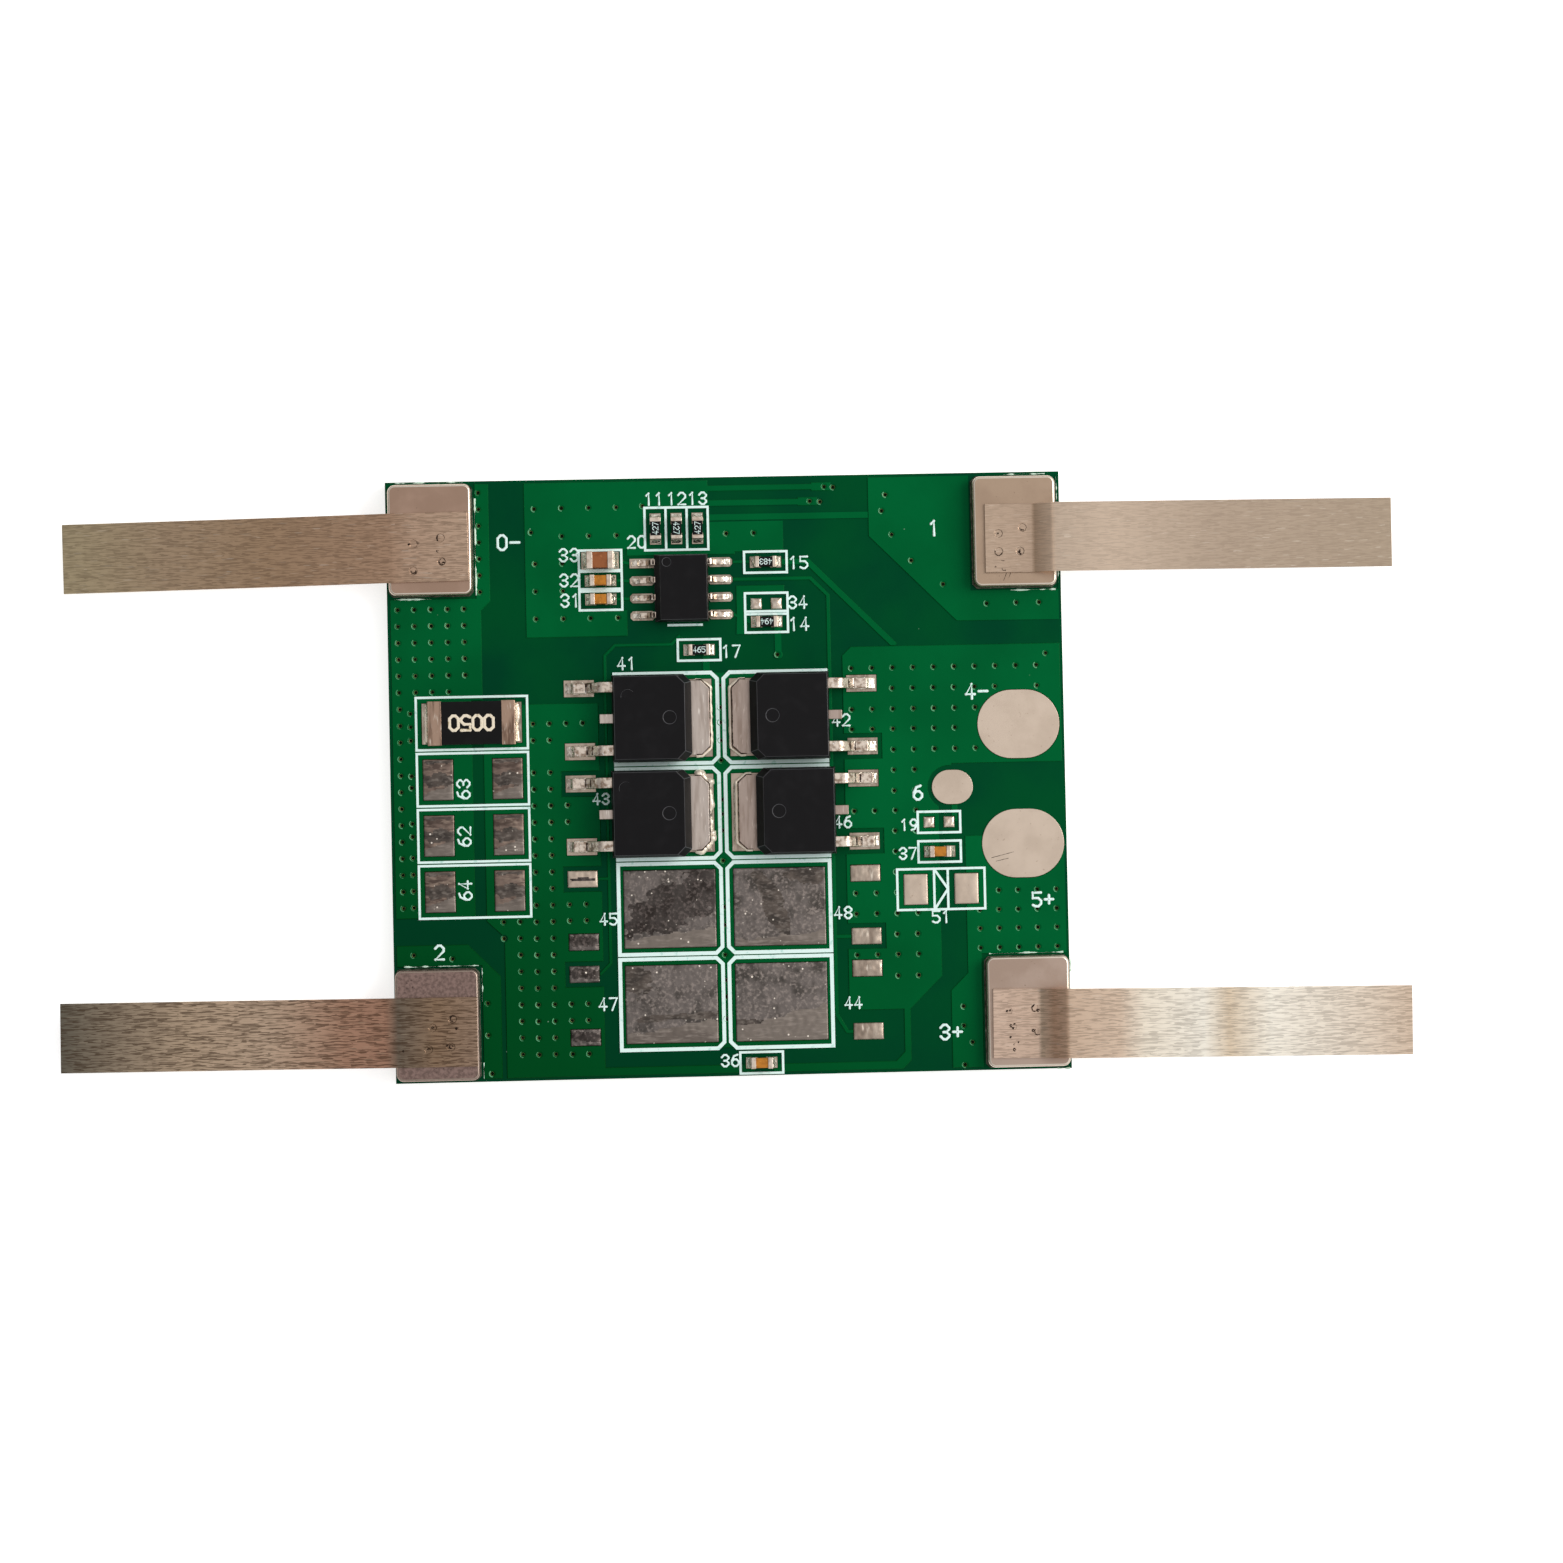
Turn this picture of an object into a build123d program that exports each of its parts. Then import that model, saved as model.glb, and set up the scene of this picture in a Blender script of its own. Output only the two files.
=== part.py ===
from build123d import *
import math
import os

# Battery management board: a bare circuit board with four welded cell tabs.
# Frame: origin at the centre of the underside, +X to the output pads, +Y to the
# protection chip, +Z out of the component side. All lengths are millimetres.

# Layers of the board, from the underside up
COPPER_T = 0.07
LAMINATE_T = 1.5
PAD_T = 0.10
LEGEND_T = 0.03
EDGE_PULLBACK = 0.2
COPPER_GAP = 0.3

# Transistor: tabbed power package with two formed leads and one cropped lead
MOSFET_BODY_L = 5.75
MOSFET_BODY_W = 6.3
MOSFET_BODY_H = 2.3
MOSFET_PARTING_Z = 1.3
MOSFET_SIDE_DRAFT = 0.16
MOSFET_TAB_DRAFT = 0.5
MOSFET_CORNER = 0.55
MOSFET_TAB_OUT = 1.3
MOSFET_TAB_W = 5.4
MOSFET_TAB_T = 0.5
MOSFET_TAB_CORNER = 0.6
MOSFET_SLUG_IN = 3.9
MOSFET_LEAD_W = 0.76
MOSFET_LEAD_T = 0.5
MOSFET_LEAD_Z = 1.1
MOSFET_LEAD_OUT = 2.8
MOSFET_FOOT_L = 1.1
MOSFET_LEAD_PITCH = 4.57
MOSFET_STUB_OUT = 0.9
MOSFET_STUB_W = 0.67
MOSFET_LEAD_IN = 0.6
MOSFET_STUB_BEND = 0.6
EJECTOR_R = 0.48
EJECTOR_DEPTH = 0.05
EJECTOR_FROM_TAB = 1.6

# Formed leads of every package: shoulder as a share of the slope's run, bend
# radius as a share of the metal's thickness
LEAD_SHOULDER = 0.45
LEAD_BEND = 0.8

# Transistor footprints: two mirrored columns of four rows
ROWS = 4
ROW_PITCH = 6.9
COLUMN_GAP = 1.3
DRAIN_PAD_L = 6.66
DRAIN_PAD_W = 5.64
PAD_GAP = 1.86
LEAD_PAD_L = 2.17
LEAD_PAD_W = 1.2
FRAME_H = 6.55
FRAME_LINE = 0.27
FRAME_PAD_GAP = 0.42
FRAME_SIDE_GAP = 0.36
FRAME_CORNER = 0.45

# Protection chip, eight leads in two rows
IC_BODY_W = 3.9
IC_BODY_L = 4.9
IC_BODY_H = 1.5
IC_STANDOFF = 0.1
IC_PARTING_Z = 0.8
IC_DRAFT = 0.12
IC_BEVEL = 0.3
IC_PITCH = 1.27
IC_PINS_SIDE = 4
IC_LEAD_W = 0.42
IC_LEAD_T = 0.2
IC_LEAD_OUT = 1.05
IC_FOOT_L = 0.55
IC_LEAD_IN = 0.4
IC_LEAD_Z = 0.78
IC_PAD_L = 1.78
IC_PAD_W = 0.68
IC_PAD_CUT = 0.18
IC_PAD_SPREAD = 5.66
IC_MARK_R = 0.32
IC_MARK_DEPTH = 0.04
IC_MARK_X = 0.9
IC_MARK_Y = 0.6
IC_LINE_L = 2.57
IC_LINE_X = 0.22

# Small chip parts: length, width, height, plated end, pad beyond the end
RESISTOR = dict(length=1.6, width=0.8, height=0.45, cap=0.3, toe=0.33)
CERAMIC = dict(length=1.6, width=0.8, height=0.8, cap=0.36, toe=0.33)
CERAMIC_LARGE = dict(length=2.0, width=1.25, height=1.1, cap=0.45, toe=0.35)
SENSE = dict(length=6.35, width=3.2, height=0.6, cap=1.0, toe=0.2)
CAP_WALL = 0.05
OVERCOAT_T = 0.04
CHIP_PAD_L = 0.8
SENSE_PAD_L = 2.18
SENSE_PAD_W = 2.95
CHIP_BOX_L = 3.09
CHIP_BOX_W = 1.53
LEGEND_LINE = 0.17
SOLDER_RISE = 0.7
SOLDER_FILL = 0.9
SOLDER_KNEE_RUN = 0.25
SOLDER_KNEE_RISE = 0.4

# Bands of the board, which add up to its length and height
LEFT_BAND = 12.66
RIGHT_BAND = 13.66
BOTTOM_BAND = 2.035
IC_GAP = 3.665
CHIP_ROW_GAP = 0.4
TOP_BAND = 2.16

# Cell plates and the nickel strips welded on them
PLATE_L = 6.0
PLATE_W = 8.0
PLATE_T = 1.0
PLATE_CORNER = 0.55
PLATE_EDGE = 0.12
PLATE_SOLDER_RIM = 0.2
PLATE_SOLDER_CUT = 0.4
PLATE_SINK = 0.06
STRIP_W = 5.0
STRIP_T = 0.2
STRIP_BEND_R = 1.2
STRIP_DROOP = 4.0
STRIP_RELAX = 2.0
STRIP_BEND_IN = 0.3
STRIP_FREE_1 = 9.0
JOGGLE_RISE_TAP = 0.8
JOGGLE_RUN_TAP = 1.35
JOGGLE_RISE_POSITIVE = 1.0
JOGGLE_RUN_POSITIVE = 1.9
WELD_R = 0.3
WELD_DEPTH = 0.06
WELD_SIDES = 8

# Output pads at the right edge and the spare footprints
OUTPUT_PAD_L = 6.0
OUTPUT_PAD_W = 5.0
OUTPUT_NEGATIVE_IN = 3.35
OUTPUT_NEGATIVE_Y = 3.37
OUTPUT_POSITIVE_IN = 3.2
OUTPUT_POSITIVE_Y = -5.32
SENSOR_PAD_L = 3.0
SENSOR_PAD_W = 2.5
SENSOR_PAD_IN = 8.27
SENSOR_PAD_Y = -1.13
DIODE_PAD_L = 1.74
DIODE_PAD_W = 2.22
DIODE_PAD_SPREAD = 3.7
DIODE_BOX_L = 6.37
DIODE_BOX_W = 2.95
DIODE_IN = 9.25
DIODE_Y = -8.53
DIODE_MARK_X = 0.5
SENSE_COLUMN_X = 5.96
SENSE_TOP_Y = 4.2
SENSE_PITCH = 4.06
SENSE_ROWS = 4
SENSE_BOX_L = 8.04
SENSE_BOX_W = 3.8
SENSE_PAD_SPREAD = 5.02

# Places of the small parts from the chip, the frames, or the edges
CHIP_OFFSET = 2.68
TIMING_X = 5.85
TIMING_STEPS = (2.15, 0.7, -0.66)
FEED_X = 6.15
FEED_TOP_Y = 1.85
FEED_SPARE_Y = -1.17
FEED_LOW_Y = -2.5
DRIVE_RESISTOR_X = 1.2
DRIVE_RESISTOR_Y = 1.66
ROW_SHIFT = -0.27
LOWER_CAPACITOR_X = 2.44
LOWER_CAPACITOR_Y = 0.93
SENSOR_RESISTOR_Y = -3.66
SENSOR_CAPACITOR_Y = -5.8
SENSOR_CHIP_X = 9.3

# Copper areas
CELL_POUR_L = 7.46
CELL_POUR_STEP = 0.68
SENSE_SPLIT = 0.78
SOURCE_EDGE = 0.3
BUS_W = 0.63
CHANNEL = 0.45
TAP_POUR_L = 13.8
TAP_POUR_H = 10.6
TAP_POUR_CUT = 6.3
LOW_POUR_L = 7.5
LOW_POUR_H = 9.75
LOW_POUR_CUT = 2.35
POSITIVE_POUR_L = 8.5
POSITIVE_POUR_CUT = 1.25
GROUND_LEFT = 14.0
GROUND_LOW = 2.75
FOOT_POUR_W = 2.0
FOOT_CUT = 0.76
FOOT_NECK = 0.5
OUTPUT_POUR_RISE = 1.7
GATE_CUT = 0.65
TRACE_W = 0.25
GATE_TRACE_W = 0.3
FEED_TRACE_W = 0.48
FEED_TRACE_RUN = 1.9
GATE_LANE_LEFT = 1.04
GATE_LANE_RIGHT = 0.64
GATE_TRACE_RISE = 2.1
GATE_TRACE_CUT = 0.75
TAP_TRACK_Y = 0.77
TAP_TRACK_PITCH = 1.06
TAP_TRACK_ENDS = (11.17, 6.6, 7.6)
TAP_PAD_L = 1.45
TAP_PAD_W = 0.64
DIVIDER_VIA_Y = 1.2
DIVIDER_RING_R = 0.33
TRACK_JOINT_SIDES = 8

# Sizes that follow from the ones above
LAMINATE_Z = COPPER_T
TOP_Z = LAMINATE_Z + LAMINATE_T
PAD_Z = TOP_Z + PAD_T
LEGEND_Z = TOP_Z + COPPER_T + LEGEND_T
PLATE_Z = PAD_Z + PLATE_SINK
STRIP_Z = PLATE_Z + PLATE_T
FOOTPRINT_L = DRAIN_PAD_L + PAD_GAP + LEAD_PAD_L
FRAMES_H = (ROWS - 1) * ROW_PITCH + FRAME_H
BOARD_L = LEFT_BAND + 2 * FOOTPRINT_L + COLUMN_GAP + RIGHT_BAND
BOARD_W = (BOTTOM_BAND + FRAMES_H + IC_GAP + IC_BODY_L
           + CHIP_ROW_GAP + CHIP_BOX_L + TOP_BAND)
X_LEFT = -BOARD_L / 2
X_RIGHT = BOARD_L / 2
Y_LOW = -BOARD_W / 2
Y_TOP = BOARD_W / 2
COPPER_LEFT = X_LEFT + EDGE_PULLBACK
COPPER_RIGHT = X_RIGHT - EDGE_PULLBACK
COPPER_LOW = Y_LOW + EDGE_PULLBACK
COPPER_TOP = Y_TOP - EDGE_PULLBACK
X_MID = X_LEFT + LEFT_BAND + FOOTPRINT_L + COLUMN_GAP / 2
FRAMES_TOP = Y_LOW + BOTTOM_BAND + FRAMES_H
ROW_Y = [FRAMES_TOP - FRAME_H / 2 - row * ROW_PITCH for row in range(ROWS)]
IC_X = X_MID - CHIP_OFFSET
IC_Y = FRAMES_TOP + IC_GAP + IC_BODY_L / 2
CHIP_ROW_Y = IC_Y + IC_BODY_L / 2 + CHIP_ROW_GAP + CHIP_BOX_L / 2
SENSE_X = X_LEFT + SENSE_COLUMN_X
SENSE_Y = [SENSE_TOP_Y - row * SENSE_PITCH for row in range(SENSE_ROWS)]
DRAIN_INNER = COLUMN_GAP / 2
DRAIN_OUTER = DRAIN_INNER + DRAIN_PAD_L
LEAD_INNER = DRAIN_OUTER + PAD_GAP
LEAD_OUTER = LEAD_INNER + LEAD_PAD_L

# Fitted transistors: name, column side, row, inset of the tab from its pad's end
MOSFETS = [
    ("mosfet_1", -1, 0, 0.18),
    ("mosfet_2", 1, 0, 0.12),
    ("mosfet_3", -1, 1, 0.34),
    ("mosfet_4", 1, 1, 0.45),
]

# Cell plates: name, side in X, side in Y, gap to the board's edge in X and in Y
PLATES = [
    ("negative", -1, 1, 0.23, 0.29),
    ("tap_1", 1, 1, 0.42, 0.39),
    ("tap_2", -1, -1, 0.13, 0.19),
    ("positive", 1, -1, 0.17, 0.23),
]

# Strips: start inside the plate's outer edge, free length past it, offset from
# the plate's centre in Y, and turn about the start in degrees
STRIPS = {
    "negative": (5.77, 23.45, -0.52, 0.7),
    "tap_2": (5.87, 24.1, -0.49, -0.25),
    "tap_1": (5.18, 24.35, -0.53, -0.25),
    "positive": (5.61, 24.72, -0.81, -0.7),
}

# Spot welds on each strip, from the plate's centre
WELDS = {
    "negative": [(0.8, 0.1), (-1.15, -0.3), (0.85, -1.6), (-1.2, -2.25)],
    "tap_2": [(1.1, 0.45), (-0.35, -0.15), (0.95, -1.55), (-0.65, -1.7)],
    "tap_1": [(-1.2, -1.5), (0.35, -1.5), (0.55, 0.2), (-1.2, -0.2)],
    "positive": [(-1.5, 0.1), (0.4, 0.25), (-1.2, -1.05), (0.4, -1.4)],
}


def area(x0, y0, x1, y1):
    """Rectangle between two opposite corners."""
    return Pos((x0 + x1) / 2, (y0 + y1) / 2) * Rectangle(abs(x1 - x0), abs(y1 - y0))


def spot(x, y, length, width):
    """Rectangle of a given size about a point."""
    return Pos(x, y) * Rectangle(length, width)


def cut_corners(x, y, length, width, cut):
    """Rectangle about a point with its corners cut at 45 degrees."""
    return Pos(x, y) * chamfer(Rectangle(length, width).vertices(), cut)


def outline(*points):
    """Closed area through the given corners."""
    return Polygon(*points, align=None)


def ring(x, y, length, width, line):
    """Legend box about a point, sized to the middle of its line."""
    return (spot(x, y, length + line, width + line)
            - spot(x, y, length - line, width - line))


def track(width, *points):
    """Copper trace of one width through the given points."""
    faces = [Pos(*p) * RegularPolygon(width / 2, TRACK_JOINT_SIDES) for p in points[1:-1]]
    for (x0, y0), (x1, y1) in zip(points, points[1:]):
        span = math.hypot(x1 - x0, y1 - y0)
        turn = math.degrees(math.atan2(y1 - y0, x1 - x0))
        faces.append(Pos((x0 + x1) / 2, (y0 + y1) / 2) * Rot(0, 0, turn) * Rectangle(span, width))
    return join(faces)


def join(faces):
    """One sketch or part from a list of them."""
    total = faces[0]
    for face in faces[1:]:
        total = total + face
    return total


def slab(face, z, height):
    """Plate of a given height that stands on level z."""
    return extrude(Pos(0, 0, z) * face, amount=height, dir=(0, 0, 1))


def bent_sheet(points, radius, thickness, width):
    """Metal of one thickness bent along points in the XZ plane, centred on Y."""
    line = FilletPolyline(*points, radius=radius)
    section = trace(line, thickness)
    return extrude(Plane.XZ * section, amount=width / 2, both=True)


def wedge(run, rise, width):
    """Solder fillet: leans on the plane x = 0 and runs out along +X."""
    knee = (run * SOLDER_KNEE_RUN, rise * SOLDER_KNEE_RISE)
    section = outline((0, 0), (run, 0), knee, (0, rise))
    return extrude(Plane.XZ * section, amount=width / 2, both=True)


def plate_centre(side_x, side_y, gap_x, gap_y):
    """Middle of a cell plate that lies in a corner of the board."""
    return (side_x * (X_RIGHT - gap_x - PLATE_L / 2),
            side_y * (Y_TOP - gap_y - PLATE_W / 2))


def column_x(side, distance):
    """Place at a distance from the line that the two columns mirror about."""
    return X_MID + side * distance


def drain_pad(side, row):
    """Wide pad under a transistor's tab."""
    x = column_x(side, (DRAIN_INNER + DRAIN_OUTER) / 2)
    return spot(x, ROW_Y[row], DRAIN_PAD_L, DRAIN_PAD_W)


def lead_pad(side, row, lead):
    """Pad of one outer lead, where lead is 1 or -1."""
    x = column_x(side, (LEAD_INNER + LEAD_OUTER) / 2)
    y = ROW_Y[row] + lead * MOSFET_LEAD_PITCH / 2
    return spot(x, y, LEAD_PAD_L, LEAD_PAD_W)


def gate_relief(side, row, lead):
    """Gap in the source copper round the pad of a gate lead."""
    x0 = column_x(side, LEAD_INNER - SOURCE_EDGE - COPPER_GAP)
    x1 = column_x(side, LEAD_OUTER + COPPER_GAP)
    y = ROW_Y[row] + lead * MOSFET_LEAD_PITCH / 2
    reach = LEAD_PAD_W / 2 + COPPER_GAP
    return area(x0, y - reach, x1, y + reach)


def footprint_pads(side, row):
    """All pads of one transistor place."""
    return drain_pad(side, row) + lead_pad(side, row, 1) + lead_pad(side, row, -1)


def fitted(side, row):
    """Tell whether a transistor sits on this place."""
    return any(side == s and row == r for _, s, r, _ in MOSFETS)


def chip_pads(x, y, chip, upright=False):
    """Two pads under a chip part, each reaching past the end of the chip."""
    centre = chip["length"] / 2 + chip["toe"] - CHIP_PAD_L / 2
    pads = (spot(-centre, 0, CHIP_PAD_L, chip["width"])
            + spot(centre, 0, CHIP_PAD_L, chip["width"]))
    return Pos(x, y) * Rot(0, 0, 90 if upright else 0) * pads


def chip_box(x, y, upright=False):
    """Printed box round a chip part."""
    length, width = (CHIP_BOX_W, CHIP_BOX_L) if upright else (CHIP_BOX_L, CHIP_BOX_W)
    return ring(x, y, length, width, LEGEND_LINE)


def sense_pads(row):
    """Two pads of one place in the sense resistors' column."""
    return (spot(SENSE_X - SENSE_PAD_SPREAD / 2, SENSE_Y[row], SENSE_PAD_L, SENSE_PAD_W)
            + spot(SENSE_X + SENSE_PAD_SPREAD / 2, SENSE_Y[row], SENSE_PAD_L, SENSE_PAD_W))


def diode_pads():
    """Two pads of the empty diode place."""
    x = X_RIGHT - DIODE_IN
    y = DIODE_Y
    return (spot(x - DIODE_PAD_SPREAD / 2, y, DIODE_PAD_L, DIODE_PAD_W)
            + spot(x + DIODE_PAD_SPREAD / 2, y, DIODE_PAD_L, DIODE_PAD_W))


def ic_pad(side, pin):
    """Pad of one chip lead, square at the first pin and with cut corners elsewhere."""
    x = IC_X + side * IC_PAD_SPREAD / 2
    y = IC_Y + (pin - (IC_PINS_SIDE - 1) / 2) * IC_PITCH
    first = side < 0 and pin == IC_PINS_SIDE - 1
    if first:
        return spot(x, y, IC_PAD_L, IC_PAD_W)
    return cut_corners(x, y, IC_PAD_L, IC_PAD_W, IC_PAD_CUT)


def small_parts():
    """Every fitted chip part: name, kind, place and whether it stands upright."""
    timing_x = IC_X - TIMING_X
    feed_x = IC_X + FEED_X
    row_x = IC_X + ROW_SHIFT
    parts = []
    for number, step in enumerate((-1, 0, 1), start=1):
        x = row_x + step * CHIP_BOX_W
        parts.append((f"resistor_{number}", "resistor", RESISTOR, x, CHIP_ROW_Y, True))
    parts += [
        ("resistor_4", "resistor", RESISTOR, feed_x, IC_Y + FEED_TOP_Y, False),
        ("resistor_5", "resistor", RESISTOR, feed_x, IC_Y + FEED_LOW_Y, False),
        ("resistor_6", "resistor", RESISTOR, IC_X + DRIVE_RESISTOR_X,
         FRAMES_TOP + DRIVE_RESISTOR_Y, False),
        ("capacitor_1", "capacitor", CERAMIC_LARGE, timing_x, IC_Y + TIMING_STEPS[0], False),
        ("capacitor_2", "capacitor", CERAMIC, timing_x, IC_Y + TIMING_STEPS[1], False),
        ("capacitor_3", "capacitor", CERAMIC, timing_x, IC_Y + TIMING_STEPS[2], False),
        ("capacitor_4", "capacitor", CERAMIC, X_MID + LOWER_CAPACITOR_X,
         Y_LOW + LOWER_CAPACITOR_Y, False),
        ("capacitor_5", "capacitor", CERAMIC, X_RIGHT - SENSOR_CHIP_X, SENSOR_CAPACITOR_Y, False),
    ]
    return parts


def spare_chip_places():
    """Chip footprints that were left empty."""
    return [
        (IC_X + FEED_X, IC_Y + FEED_SPARE_Y),
        (X_RIGHT - SENSOR_CHIP_X, SENSOR_RESISTOR_Y),
    ]


def output_pad_faces():
    """Two large round-ended pads and the smaller one between them."""
    negative = Pos(X_RIGHT - OUTPUT_NEGATIVE_IN, OUTPUT_NEGATIVE_Y)
    positive = Pos(X_RIGHT - OUTPUT_POSITIVE_IN, OUTPUT_POSITIVE_Y)
    sensor = Pos(X_RIGHT - SENSOR_PAD_IN, SENSOR_PAD_Y)
    large = SlotOverall(OUTPUT_PAD_L, OUTPUT_PAD_W)
    return [negative * large, positive * large, sensor * SlotOverall(SENSOR_PAD_L, SENSOR_PAD_W)]


def component_pad_faces():
    """Pads that carry a part."""
    faces = [footprint_pads(side, row) for _, side, row, _ in MOSFETS]
    faces += [ic_pad(side, pin) for side in (-1, 1) for pin in range(IC_PINS_SIDE)]
    faces += [chip_pads(x, y, chip, upright) for _, _, chip, x, y, upright in small_parts()]
    faces.append(sense_pads(0))
    return faces


def spare_pad_faces():
    """Pads of the places that were left empty."""
    faces = [footprint_pads(side, row) for side in (-1, 1) for row in range(ROWS)
             if not fitted(side, row)]
    faces += [sense_pads(row) for row in range(1, SENSE_ROWS)]
    faces += [chip_pads(x, y, RESISTOR) for x, y in spare_chip_places()]
    faces.append(diode_pads())
    return faces


def plate_opening(plate):
    """Square area about a plate that copper and print leave free."""
    x, y = plate_centre(*plate[1:])
    rim = 2 * PLATE_SOLDER_RIM
    return spot(x, y, PLATE_L + rim, PLATE_W + rim) & spot(0, 0, BOARD_L, BOARD_W)


def plate_solder_face(plate):
    """Solder under a plate, which shows as a narrow rim with cut corners."""
    x, y = plate_centre(*plate[1:])
    rim = 2 * PLATE_SOLDER_RIM
    whole = cut_corners(x, y, PLATE_L + rim, PLATE_W + rim, PLATE_SOLDER_CUT)
    return whole & plate_opening(plate)


def cell_negative_pour():
    """Copper from the negative plate down the left edge to the sense resistors."""
    right = COPPER_LEFT + CELL_POUR_L - EDGE_PULLBACK
    step_y = COPPER_TOP - PLATE_W - PLATE_SOLDER_RIM - CELL_POUR_STEP / 2
    top = SENSE_Y[0] + SENSE_BOX_W / 2 - COPPER_GAP
    low = SENSE_Y[-1] - SENSE_BOX_W / 2
    return outline(
        (COPPER_LEFT, COPPER_TOP), (right, COPPER_TOP), (right, step_y),
        (right - CELL_POUR_STEP, step_y - CELL_POUR_STEP), (right - CELL_POUR_STEP, top),
        (SENSE_X, top), (SENSE_X, low), (COPPER_LEFT, low))


def source_pour(notched=True):
    """Copper of the left leads, from the sense resistors to the lower edge."""
    left = SENSE_X + SENSE_SPLIT
    right = column_x(-1, LEAD_INNER - SOURCE_EDGE)
    top = SENSE_Y[0] + SENSE_BOX_W / 2 - 2 * COPPER_GAP
    lower = COPPER_LEFT + LOW_POUR_L + COPPER_GAP
    cut = SENSE_Y[-1] - SENSE_BOX_W / 2 - COPPER_GAP
    bus_end = X_MID + LOWER_CAPACITOR_X - RESISTOR["length"] / 2 + COPPER_GAP
    pour = outline((left, top), (right, top), (right, COPPER_LOW + BUS_W),
                   (bus_end, COPPER_LOW + BUS_W), (bus_end, COPPER_LOW), (lower, COPPER_LOW),
                   (lower, cut - LOW_POUR_CUT / 2), (left, cut))
    if notched:
        for row in range(ROWS):
            pour = pour - gate_relief(-1, row, 1)
    return pour


def output_negative_pour(notched=True):
    """Copper of the right leads, joined to the negative output pad."""
    left = column_x(1, LEAD_INNER - SOURCE_EDGE)
    right = X_RIGHT - SENSOR_CHIP_X
    top = FRAMES_TOP + OUTPUT_POUR_RISE
    pad_low = OUTPUT_NEGATIVE_Y - OUTPUT_PAD_W / 2 - COPPER_GAP
    sensor_x = X_RIGHT - SENSOR_PAD_IN
    narrow = column_x(1, LEAD_OUTER) + FOOT_POUR_W
    foot = ROW_Y[-1] - FOOT_CUT
    low = COPPER_LOW + BUS_W
    bus_start = X_MID + LOWER_CAPACITOR_X + RESISTOR["length"] / 2
    pour = outline((left, top - GATE_CUT), (left + GATE_CUT, top), (COPPER_RIGHT, top),
                   (COPPER_RIGHT, pad_low), (sensor_x, pad_low), (right, SENSOR_PAD_Y),
                   (right, foot + LOW_POUR_CUT), (narrow, foot), (narrow, low),
                   (narrow - GATE_CUT, COPPER_LOW), (bus_start, COPPER_LOW), (bus_start, low),
                   (narrow - FOOT_NECK - GATE_CUT, low), (narrow - FOOT_NECK, low + GATE_CUT),
                   (narrow - FOOT_NECK, foot), (left + GATE_CUT, foot), (left, foot + GATE_CUT))
    if notched:
        for row in range(ROWS):
            pour = pour - gate_relief(1, row, -1)
    clear = 2 * COPPER_GAP
    return pour - Pos(sensor_x, SENSOR_PAD_Y) * SlotOverall(SENSOR_PAD_L + clear,
                                                            SENSOR_PAD_W + clear)


def output_positive_pour():
    """Copper that joins the positive plate to the positive output pad."""
    left = COPPER_RIGHT - POSITIVE_POUR_L + POSITIVE_POUR_CUT
    pad_x = X_RIGHT - OUTPUT_POSITIVE_IN
    top = OUTPUT_POSITIVE_Y + BUS_W
    cut_y = COPPER_LOW + PLATE_W - LOW_POUR_CUT
    return outline((left, top), (pad_x, top), (pad_x, OUTPUT_POSITIVE_Y),
                   (COPPER_RIGHT, OUTPUT_POSITIVE_Y), (COPPER_RIGHT, COPPER_LOW),
                   (left - POSITIVE_POUR_CUT, COPPER_LOW), (left - POSITIVE_POUR_CUT, cut_y),
                   (left, cut_y + POSITIVE_POUR_CUT))


def tap_1_pour():
    """Copper round the upper right plate, cut on a slant."""
    left = COPPER_RIGHT - TAP_POUR_L
    low = COPPER_TOP - TAP_POUR_H
    return outline((left, COPPER_TOP), (COPPER_RIGHT, COPPER_TOP), (COPPER_RIGHT, low),
                   (left + TAP_POUR_CUT, low), (left, low + TAP_POUR_CUT))


def tap_2_pour():
    """Copper round the lower left plate, with one cut corner."""
    right = COPPER_LEFT + LOW_POUR_L
    top = COPPER_LOW + LOW_POUR_H
    return outline((COPPER_LEFT, top), (right - LOW_POUR_CUT, top), (right, top - LOW_POUR_CUT),
                   (right, COPPER_LOW), (COPPER_LEFT, COPPER_LOW))


def ground_area():
    """Whole outline of the copper about the protection chip."""
    step = X_MID - BUS_W
    right = step + IC_BODY_W + CHIP_BOX_W
    low = FRAMES_TOP + GROUND_LOW
    return (area(X_MID - GROUND_LEFT, low, step, COPPER_TOP)
            + area(step, low, right, CHIP_ROW_Y + CHANNEL))


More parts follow.
